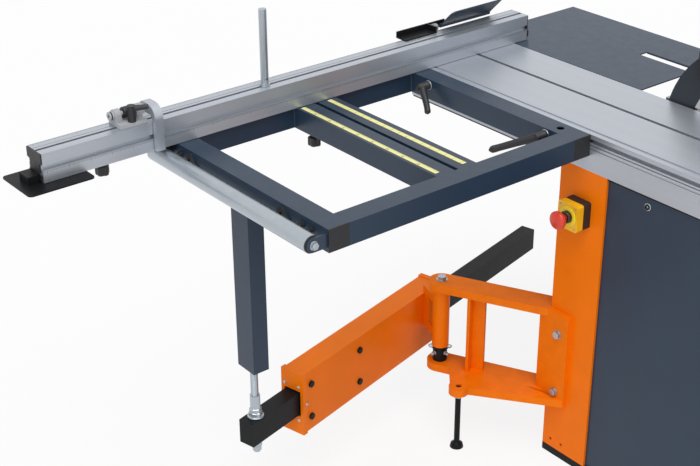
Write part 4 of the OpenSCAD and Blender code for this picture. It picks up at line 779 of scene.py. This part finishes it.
class SAW_OT_fasteners(bpy.types.Operator):
    """Make the bolt heads, nuts and screws that show on the roller, the arm and the cabinet, and a black
    strip of painted shadow under the sliding table's rail.
    """
    bl_idname = "saw.fasteners"
    bl_label = "Bolts and screws"

    def execute(self, context):
        self.lug_nuts()
        self.roller_ends()
        self.rod_nuts()
        self.arm_screws()
        self.collar_bolts()
        self.stop_pieces()
        self.cabinet_screw()
        # A black strip of painted shadow under the rail
        self.rail_painted_shadow()
        return {"FINISHED"}

    @staticmethod
    def lug_nuts():
        """Nuts on the bolts that hold the roller's lugs to the outer tube."""
        x, z = FRAME_LOW[0] - 0.0001, FRAME_HIGH[2] - LUG_BOLT_DROP
        y0, y1 = FRAME_LOW[1], FRAME_HIGH[1]
        nuts = []
        for y in (y0 + 0.057, y0 + 0.085, y1 - 0.067, y1 - 0.030):
            nuts += hex_bolt((x, y, z), (-1, 0, 0), washer=0.0078, radius=0.0064, washer_t=0.0015,
                             head_t=0.0055, stud=0.009)
        piece("tube_nuts", nuts, "black plastic", "outrigger")

    @staticmethod
    def roller_ends():
        """Nuts on the roller's axle and the black rings in its ends."""
        low, high = corners("roller_ears")
        x, z = ((ROLLER_LOW + ROLLER_HIGH) / 2)[[0, 2]]
        nuts = []
        for y, way in ((low[1] + 0.0060, -1), (high[1] - 0.0060, 1)):
            nuts += hex_bolt((x, y, z), (0, way, 0), washer=0.0096, radius=0.0083, washer_t=0.0012,
                             head_t=0.0059)
        piece("axle_nuts", nuts, "zinc", "outrigger")
        profile = [(0.0184, -0.0006), (0.0184, 0.0010), (0.0176, 0.0015), (0.0060, 0.0015)]
        rings = [turned("ring", profile, (x, y, z), (0, way, 0))
                 for y, way in ((ROLLER_LOW[1], -1), (ROLLER_HIGH[1], 1))]
        piece("roller_end_caps", rings, "black plastic", "support_roller")

    @staticmethod
    def rod_nuts():
        """Washers and nuts that hold the post's rod in the end of the telescoping tube."""
        low, high = corners("post_screw")
        tube_low, tube_high = (corner[2] for corner in corners("telescope_tube"))
        x, y = (low + high)[:2] / 2
        nuts = hex_bolt((x, y, tube_high + 0.0005), (0, 0, 1), washer=0.0190, radius=0.0158,
                        washer_t=0.0028, head_t=0.0105)
        nuts += hex_bolt((x, y, tube_high + 0.0138), (0, 0, 1), washer=0.0138, radius=0.0142,
                         washer_t=0.0006, head_t=0.0090)
        nuts += hex_bolt((x, y, tube_low - 0.0005), (0, 0, -1), washer=0.0150, radius=0.0126,
                         washer_t=0.0022, head_t=0.0105)
        piece("rod_nuts", nuts, "zinc", "support_post")

    @staticmethod
    def arm_screws():
        """Screws round the arm's window and the one on its near side."""
        out = np.array([math.cos(ARM_TURN), math.sin(ARM_TURN), 0.0])
        over = np.array([math.sin(ARM_TURN), -math.cos(ARM_TURN), 0.0])

        def at(reach, aside, z):
            """The point at a reach along the arm, a distance aside of it and a height."""
            return HINGE + out * reach + over * aside + np.array([0.0, 0.0, z])
        profile = dome_profile(0.0042, 0.0, 0.0030, 0.0012)
        screws = [turned("screw", profile, at(ARM_OUT, aside, z), out, 24)
                  for aside in WINDOW_SIDES for z in WINDOW_SCREW_Z]
        reach, height = SIDE_SCREW
        screws.append(turned("screw", profile, at(reach, ARM_SIDE - 0.0025, height), -over, 24))
        piece("arm_end_screws", screws, "zinc", "arm")

    @staticmethod
    def collar_bolts():
        """Set screws that stand out round the collar below the arm's hinge."""
        bolts = []
        for degrees, z in COLLAR_BOLTS:
            axis = np.array([math.cos(math.radians(degrees)), math.sin(math.radians(degrees)), 0.0])
            bolts += hex_bolt(HINGE + COLLAR_R * axis + np.array([0, 0, z]), axis, washer=0.0055,
                              radius=0.0050, washer_t=0.0040, head_t=0.0060, stud=0.013)
        piece("collar_bolts", bolts, "zinc", "arm")

    @staticmethod
    def stop_pieces():
        """Black bolt head and ratchet ring on the flip stop's bolt."""
        x = corners("stop_block")[0][0]
        y, z = FENCE_LOW[1] + STOP_BOLT[0], FENCE_HIGH[2] + STOP_BOLT[1]
        head = turned("head", dome_profile(0.0094, 0.0, 0.0056, 0.002), (x + 0.0052, y, z), (-1, 0, 0), 36)
        ring = turned("ring", [(0.0056, 0.0), (0.0115, 0.0), (0.0122, 0.0012), (0.0122, 0.0228),
                               (0.0115, 0.0240), (0.0056, 0.0240)], (x + 0.0320, y, z), (1, 0, 0))
        piece("stop_bolt_head", [head, ring], "black plastic", "stop")

    @staticmethod
    def cabinet_screw():
        """Black socket screw in the cabinet's left side, with its bright rim."""
        at = (corners("cabinet")[0][0], *CABINET_SCREW)
        screw = turned("screw", [(0.0064, -0.003), (0.0064, 0.0026), (0.0052, 0.0034), (0.0036, 0.0034),
                                 (0.0034, -0.0010), (0.0005, -0.0010)], at, (-1, 0, 0), 28)
        piece("cabinet_cover_screw", [screw], "black steel", "base")
        rim = turned("rim", [(0.0066, -0.001), (0.0086, 0.0004), (0.0086, 0.0010), (0.0080, 0.0014),
                             (0.0064, 0.0014)], at, (-1, 0, 0), 32)
        piece("cabinet_cover_rim", [rim], "zinc", "base")

    @staticmethod
    def rail_painted_shadow():
        """Black strip of painted shadow along the lower outer edge of the sliding table's rail, where the
        gap below it lies in shade.
        """
        low, high = corners("slide_rail")
        k = np.linspace(0, 1, 12)
        x, z = low[0] + 0.0028, low[2] - 0.0021
        y = low[1] + 0.004 + k * (high[1] - low[1] - 0.008)
        # Painted shadow: a black strip stands in for the shade in the gap below the rail
        painted_shadow = swept("strip", np.stack([np.full(12, x), y, np.full(12, z)], 1), 0.0024, 16)
        piece("rail_painted_shadow", [painted_shadow], "black steel", "base")


class SAW_OT_levers(bpy.types.Operator):
    """Make the clamp levers with their hubs, zinc rings and tapering handles."""
    bl_idname = "saw.levers"
    bl_label = "Clamp levers"

    def execute(self, context):
        face = FRAME_HIGH[0] - TUBE
        for node, body, y, turn, lean, length in LEVERS:
            at = np.array([face, y, TABLE_TOP - LEVER_DROP])
            hub = turned("hub", [(0.0108, 0.0006), (0.0108, 0.006), (0.0100, 0.007), (0.0098, 0.030),
                                 (0.0088, 0.032), (0.0045, 0.032), (0.0040, 0.0305), (0.0005, 0.0305)],
                         at, (-1, 0, 0), 40)
            grip = self.handle(at, math.radians(turn), math.radians(lean), length)
            piece(f"{node}_handle", [hub, grip], "black plastic", body, [node])
            stud = turned("stud", [(0.004, -0.0590), (0.004, -0.0006), (0.0118, -0.0005),
                                   (0.0118, 0.0012), (0.0005, 0.0012)], at, (-1, 0, 0), 32)
            nut = turned("nut", [(0.0056, 0.0), (0.0056, 0.0035), (0.0005, 0.0035)],
                         at + np.array([TUBE + 0.006, 0, 0]), (1, 0, 0), 24)
            piece(f"{node}_stud", [stud, nut], "zinc", body)
        return {"FINISHED"}

    @staticmethod
    def handle(at, turn, lean, length):
        """Tapering handle: a bar from the hub that leans out and bends by the cube of its length."""
        way = np.array([-math.sin(lean), math.cos(lean) * math.cos(turn),
                        math.cos(lean) * math.sin(turn)])
        k = np.linspace(0, 1, 22)
        path = at + np.array([-0.022, 0, 0]) + way * (k * length)[:, None]
        path[:, 0] -= 0.007 * k ** 3
        radii = np.interp(k, [0, 0.06, 0.14, 0.35, 0.8, 0.93, 0.98, 1.0],
                          [0.0100, 0.0104, 0.0100, 0.0088, 0.0080, 0.0086, 0.0066, 0.0020])
        return swept("grip", path, radii, 24, 0.86, up=(1.0, 0.0, 0.0))


class SAW_OT_figures(bpy.types.Operator):
    """Print plain figures beside the ticks of the scale tape."""
    bl_idname = "saw.figures"
    bl_label = "Figures on the tape"

    def execute(self, context):
        size = context.scene.saw_details.figure_size
        ink = Finish("black ink")
        ink.close((0.02, 0.02, 0.02), 0.4 + ink.noise(0.01) * 0.1)
        meshes = []
        x, z = TAPE_LOW[0] + 0.0038, TAPE_HIGH[2] + 0.00006
        start, end = TAPE_LOW[1] + 0.012, TAPE_HIGH[1] - 0.012
        first = math.ceil(start / FIGURE_PITCH) * FIGURE_PITCH
        for i, y in enumerate(np.arange(first, end, FIGURE_PITCH)):
            text = bpy.data.curves.new("figure", "FONT")
            text.body = str(FIRST_FIGURE + FIGURE_STEP * i)
            text.size = size
            text.align_x = "CENTER"
            text.align_y = "CENTER"
            obj = bpy.data.objects.new("figure", text)
            bpy.context.scene.collection.objects.link(obj)
            graph = bpy.context.evaluated_depsgraph_get()
            mesh = bpy.data.meshes.new_from_object(obj.evaluated_get(graph))
            bpy.data.objects.remove(obj)
            mesh.transform(Matrix.Translation((x, y, z)) @ Matrix.Rotation(-math.pi / 2, 4, "Z"))
            mesh.materials.clear()
            meshes.append(mesh)
        piece("tape_figures", meshes, "black ink", "outrigger")
        return {"FINISHED"}


class SAW_OT_knobs(bpy.types.Operator):
    """Make the lobed clamping knobs with rounded rims."""
    bl_idname = "saw.knobs"
    bl_label = "Clamping knobs"

    def execute(self, context):
        d = context.scene.saw_details
        for node, body in (("beam_knob", "underknob"), ("extension_knob", "end_knob")):
            lo, hi = corners(node)
            at = ((lo[0] + hi[0]) / 2, (lo[1] + hi[1]) / 2, lo[2])
            tall = hi[2] - lo[2]
            # The box of five lobes isn't centred on the stud, so its radius is the larger half
            r = max(hi[:2] - lo[:2]) / 2
            grip = lobed("grip", at, d.knob_lobes, r, 0.022)
            profile = [(0.004, 0.021), (0.004, tall - 0.001), (0.0034, tall)]
            stud = turned("stud", profile, at, (0, 0, 1), 24)
            piece(f"{node}_grip", [grip], "black plastic", body, [node])
            piece(f"{node}_stud", [stud], "zinc", body)
        return {"FINISHED"}


class SAW_OT_studio(bpy.types.Operator):
    """Set up the floor, the soft lights and the camera at the photograph's angle."""
    bl_idname = "saw.studio"
    bl_label = "Studio"

    def execute(self, context):
        s = context.scene.saw_studio
        scene = context.scene
        scene.view_settings.view_transform = "Standard"
        self.floor(scene)
        self.world(scene, s.sky)
        for name, strength, angle, turn in (("key", s.key, 0.7, (24, 0, -28)),
                                            ("side", s.side, 1.0, (62, 0, -62))):
            lamp = bpy.data.lights.new(name, "SUN")
            lamp.energy = strength
            lamp.angle = angle
            obj = bpy.data.objects.new(name, lamp)
            obj.rotation_euler = [math.radians(degrees) for degrees in turn]
            scene.collection.objects.link(obj)
        camera = bpy.data.cameras.new("camera")
        camera.lens = s.lens
        camera.sensor_width = 36.0
        camera.clip_start, camera.clip_end = 0.05, 100.0
        obj = bpy.data.objects.new("camera", camera)
        turn = Matrix(np.stack([CAMERA_RIGHT, CAMERA_UP, CAMERA_BACK], 1).tolist()).to_4x4()
        obj.matrix_world = Matrix.Translation(CAMERA_AT) @ turn
        scene.collection.objects.link(obj)
        scene.camera = obj
        return {"FINISHED"}

    def floor(self, scene):
        """Floor: rings of points round the origin, joined outwards, with a small face in the middle."""
        steps = 96
        t = np.linspace(0, 2 * np.pi, steps, endpoint=False)
        rings = np.array([0.01, 4.0, 40.0])[:, None]
        points = np.stack([rings * np.cos(t), rings * np.sin(t), np.zeros((3, steps))], -1)
        index = np.arange(3 * steps).reshape(3, steps)
        onward = np.roll(index, -1, 1)
        faces = np.stack([index[1:], onward[1:], onward[:-1], index[:-1]], -1).reshape(-1, 4).tolist()
        faces.append(index[0].tolist())
        mesh = bpy.data.meshes.new("studio_floor")
        mesh.from_pydata(points.reshape(-1, 3).tolist(), [], faces)
        mesh.materials.append(self.floor_finish())
        floor = bpy.data.objects.new("studio_floor", mesh)
        floor.location.z = -0.0005
        scene.collection.objects.link(floor)

    @staticmethod
    def floor_finish():
        """Pale floor: lit paint below, plain white for the camera and for gloss, shadow kept."""
        f = Finish("pale floor")
        path = f.node("ShaderNodeLightPath").socket.node
        seen = (Value(f, path.outputs["Is Camera Ray"]) + Value(f, path.outputs["Is Glossy Ray"])
                + Value(f, path.outputs["Is Transmission Ray"])).clamped()
        soft = f.noise(0.5, 2.0)
        paint = f.node("ShaderNodeBsdfDiffuse",
                       sockets={"Color": f.mix(soft, (0.80, 0.80, 0.80), (0.83, 0.83, 0.83))})
        white = f.node("ShaderNodeEmission", sockets={"Color": (1.0, 1.0, 1.0, 1.0), "Strength": 1.0})
        both = f.node("ShaderNodeMixShader", sockets={"Fac": seen * 0.85, "Shader": paint,
                                                      "Shader_001": white})
        f.node("ShaderNodeOutputMaterial", sockets={"Surface": both})
        return f.material

    @staticmethod
    def world(scene, strength):
        """Even light from all round, seen as white."""
        world = bpy.data.worlds.new("studio")
        world.use_nodes = True
        new, link = world.node_tree.nodes.new, world.node_tree.links.new
        world.node_tree.nodes.clear()
        rays = new("ShaderNodeLightPath").outputs
        some, seen = new("ShaderNodeMath"), new("ShaderNodeMath")
        seen.use_clamp = True
        link(rays["Is Camera Ray"], some.inputs[0])
        link(rays["Is Glossy Ray"], some.inputs[1])
        link(some.outputs[0], seen.inputs[0])
        link(rays["Is Transmission Ray"], seen.inputs[1])
        mix = new("ShaderNodeMixShader")
        link(seen.outputs[0], mix.inputs[0])
        cool, white = (0.97, 0.985, 1.0, 1.0), (1.0, 1.0, 1.0, 1.0)
        for place, colour, level in ((1, cool, strength), (2, white, 1.0)):
            light = new("ShaderNodeBackground")
            light.inputs["Color"].default_value = colour
            light.inputs["Strength"].default_value = level
            link(light.outputs[0], mix.inputs[place])
        link(mix.outputs[0], new("ShaderNodeOutputWorld").inputs["Surface"])
        scene.world = world


STEPS = (SAW_OT_paint_nodes, SAW_OT_stop_button, SAW_OT_threads, SAW_OT_welds, SAW_OT_fasteners,
         SAW_OT_levers, SAW_OT_figures, SAW_OT_knobs, SAW_OT_studio)


class SAW_PT_panel(bpy.types.Panel):
    """Sidebar panel with the saw's sizes, colours and steps."""
    bl_idname = "SAW_PT_panel"
    bl_label = "Table saw"
    bl_space_type = "VIEW_3D"
    bl_region_type = "UI"
    bl_category = "Table saw"

    def draw(self, context):
        for group in ("saw_finishes", "saw_details", "saw_studio"):
            box = self.layout.box()
            settings = getattr(context.scene, group)
            for name in settings.bl_rna.properties.keys():
                if name not in ("rna_type", "name"):
                    box.prop(settings, name)
        for step in STEPS:
            self.layout.operator(step.bl_idname)


GROUPS = {"saw_finishes": SawFinishes, "saw_details": SawDetails, "saw_studio": SawStudio}


def register():
    """Registers the groups, operators and panel."""
    for cls in (*GROUPS.values(), *STEPS, SAW_PT_panel):
        bpy.utils.register_class(cls)
    for name, cls in GROUPS.items():
        setattr(bpy.types.Scene, name, PointerProperty(type=cls))


def unregister():
    """Takes them out again."""
    for name in GROUPS:
        delattr(bpy.types.Scene, name)
    for cls in (SAW_PT_panel, *STEPS[::-1], *GROUPS.values()):
        bpy.utils.unregister_class(cls)


def main():
    """Runs every step in order."""
    register()
    for step in STEPS:
        group, name = step.bl_idname.split(".")
        getattr(getattr(bpy.ops, group), name)()
    bpy.context.view_layer.update()


if __name__ == "__main__":
    main()
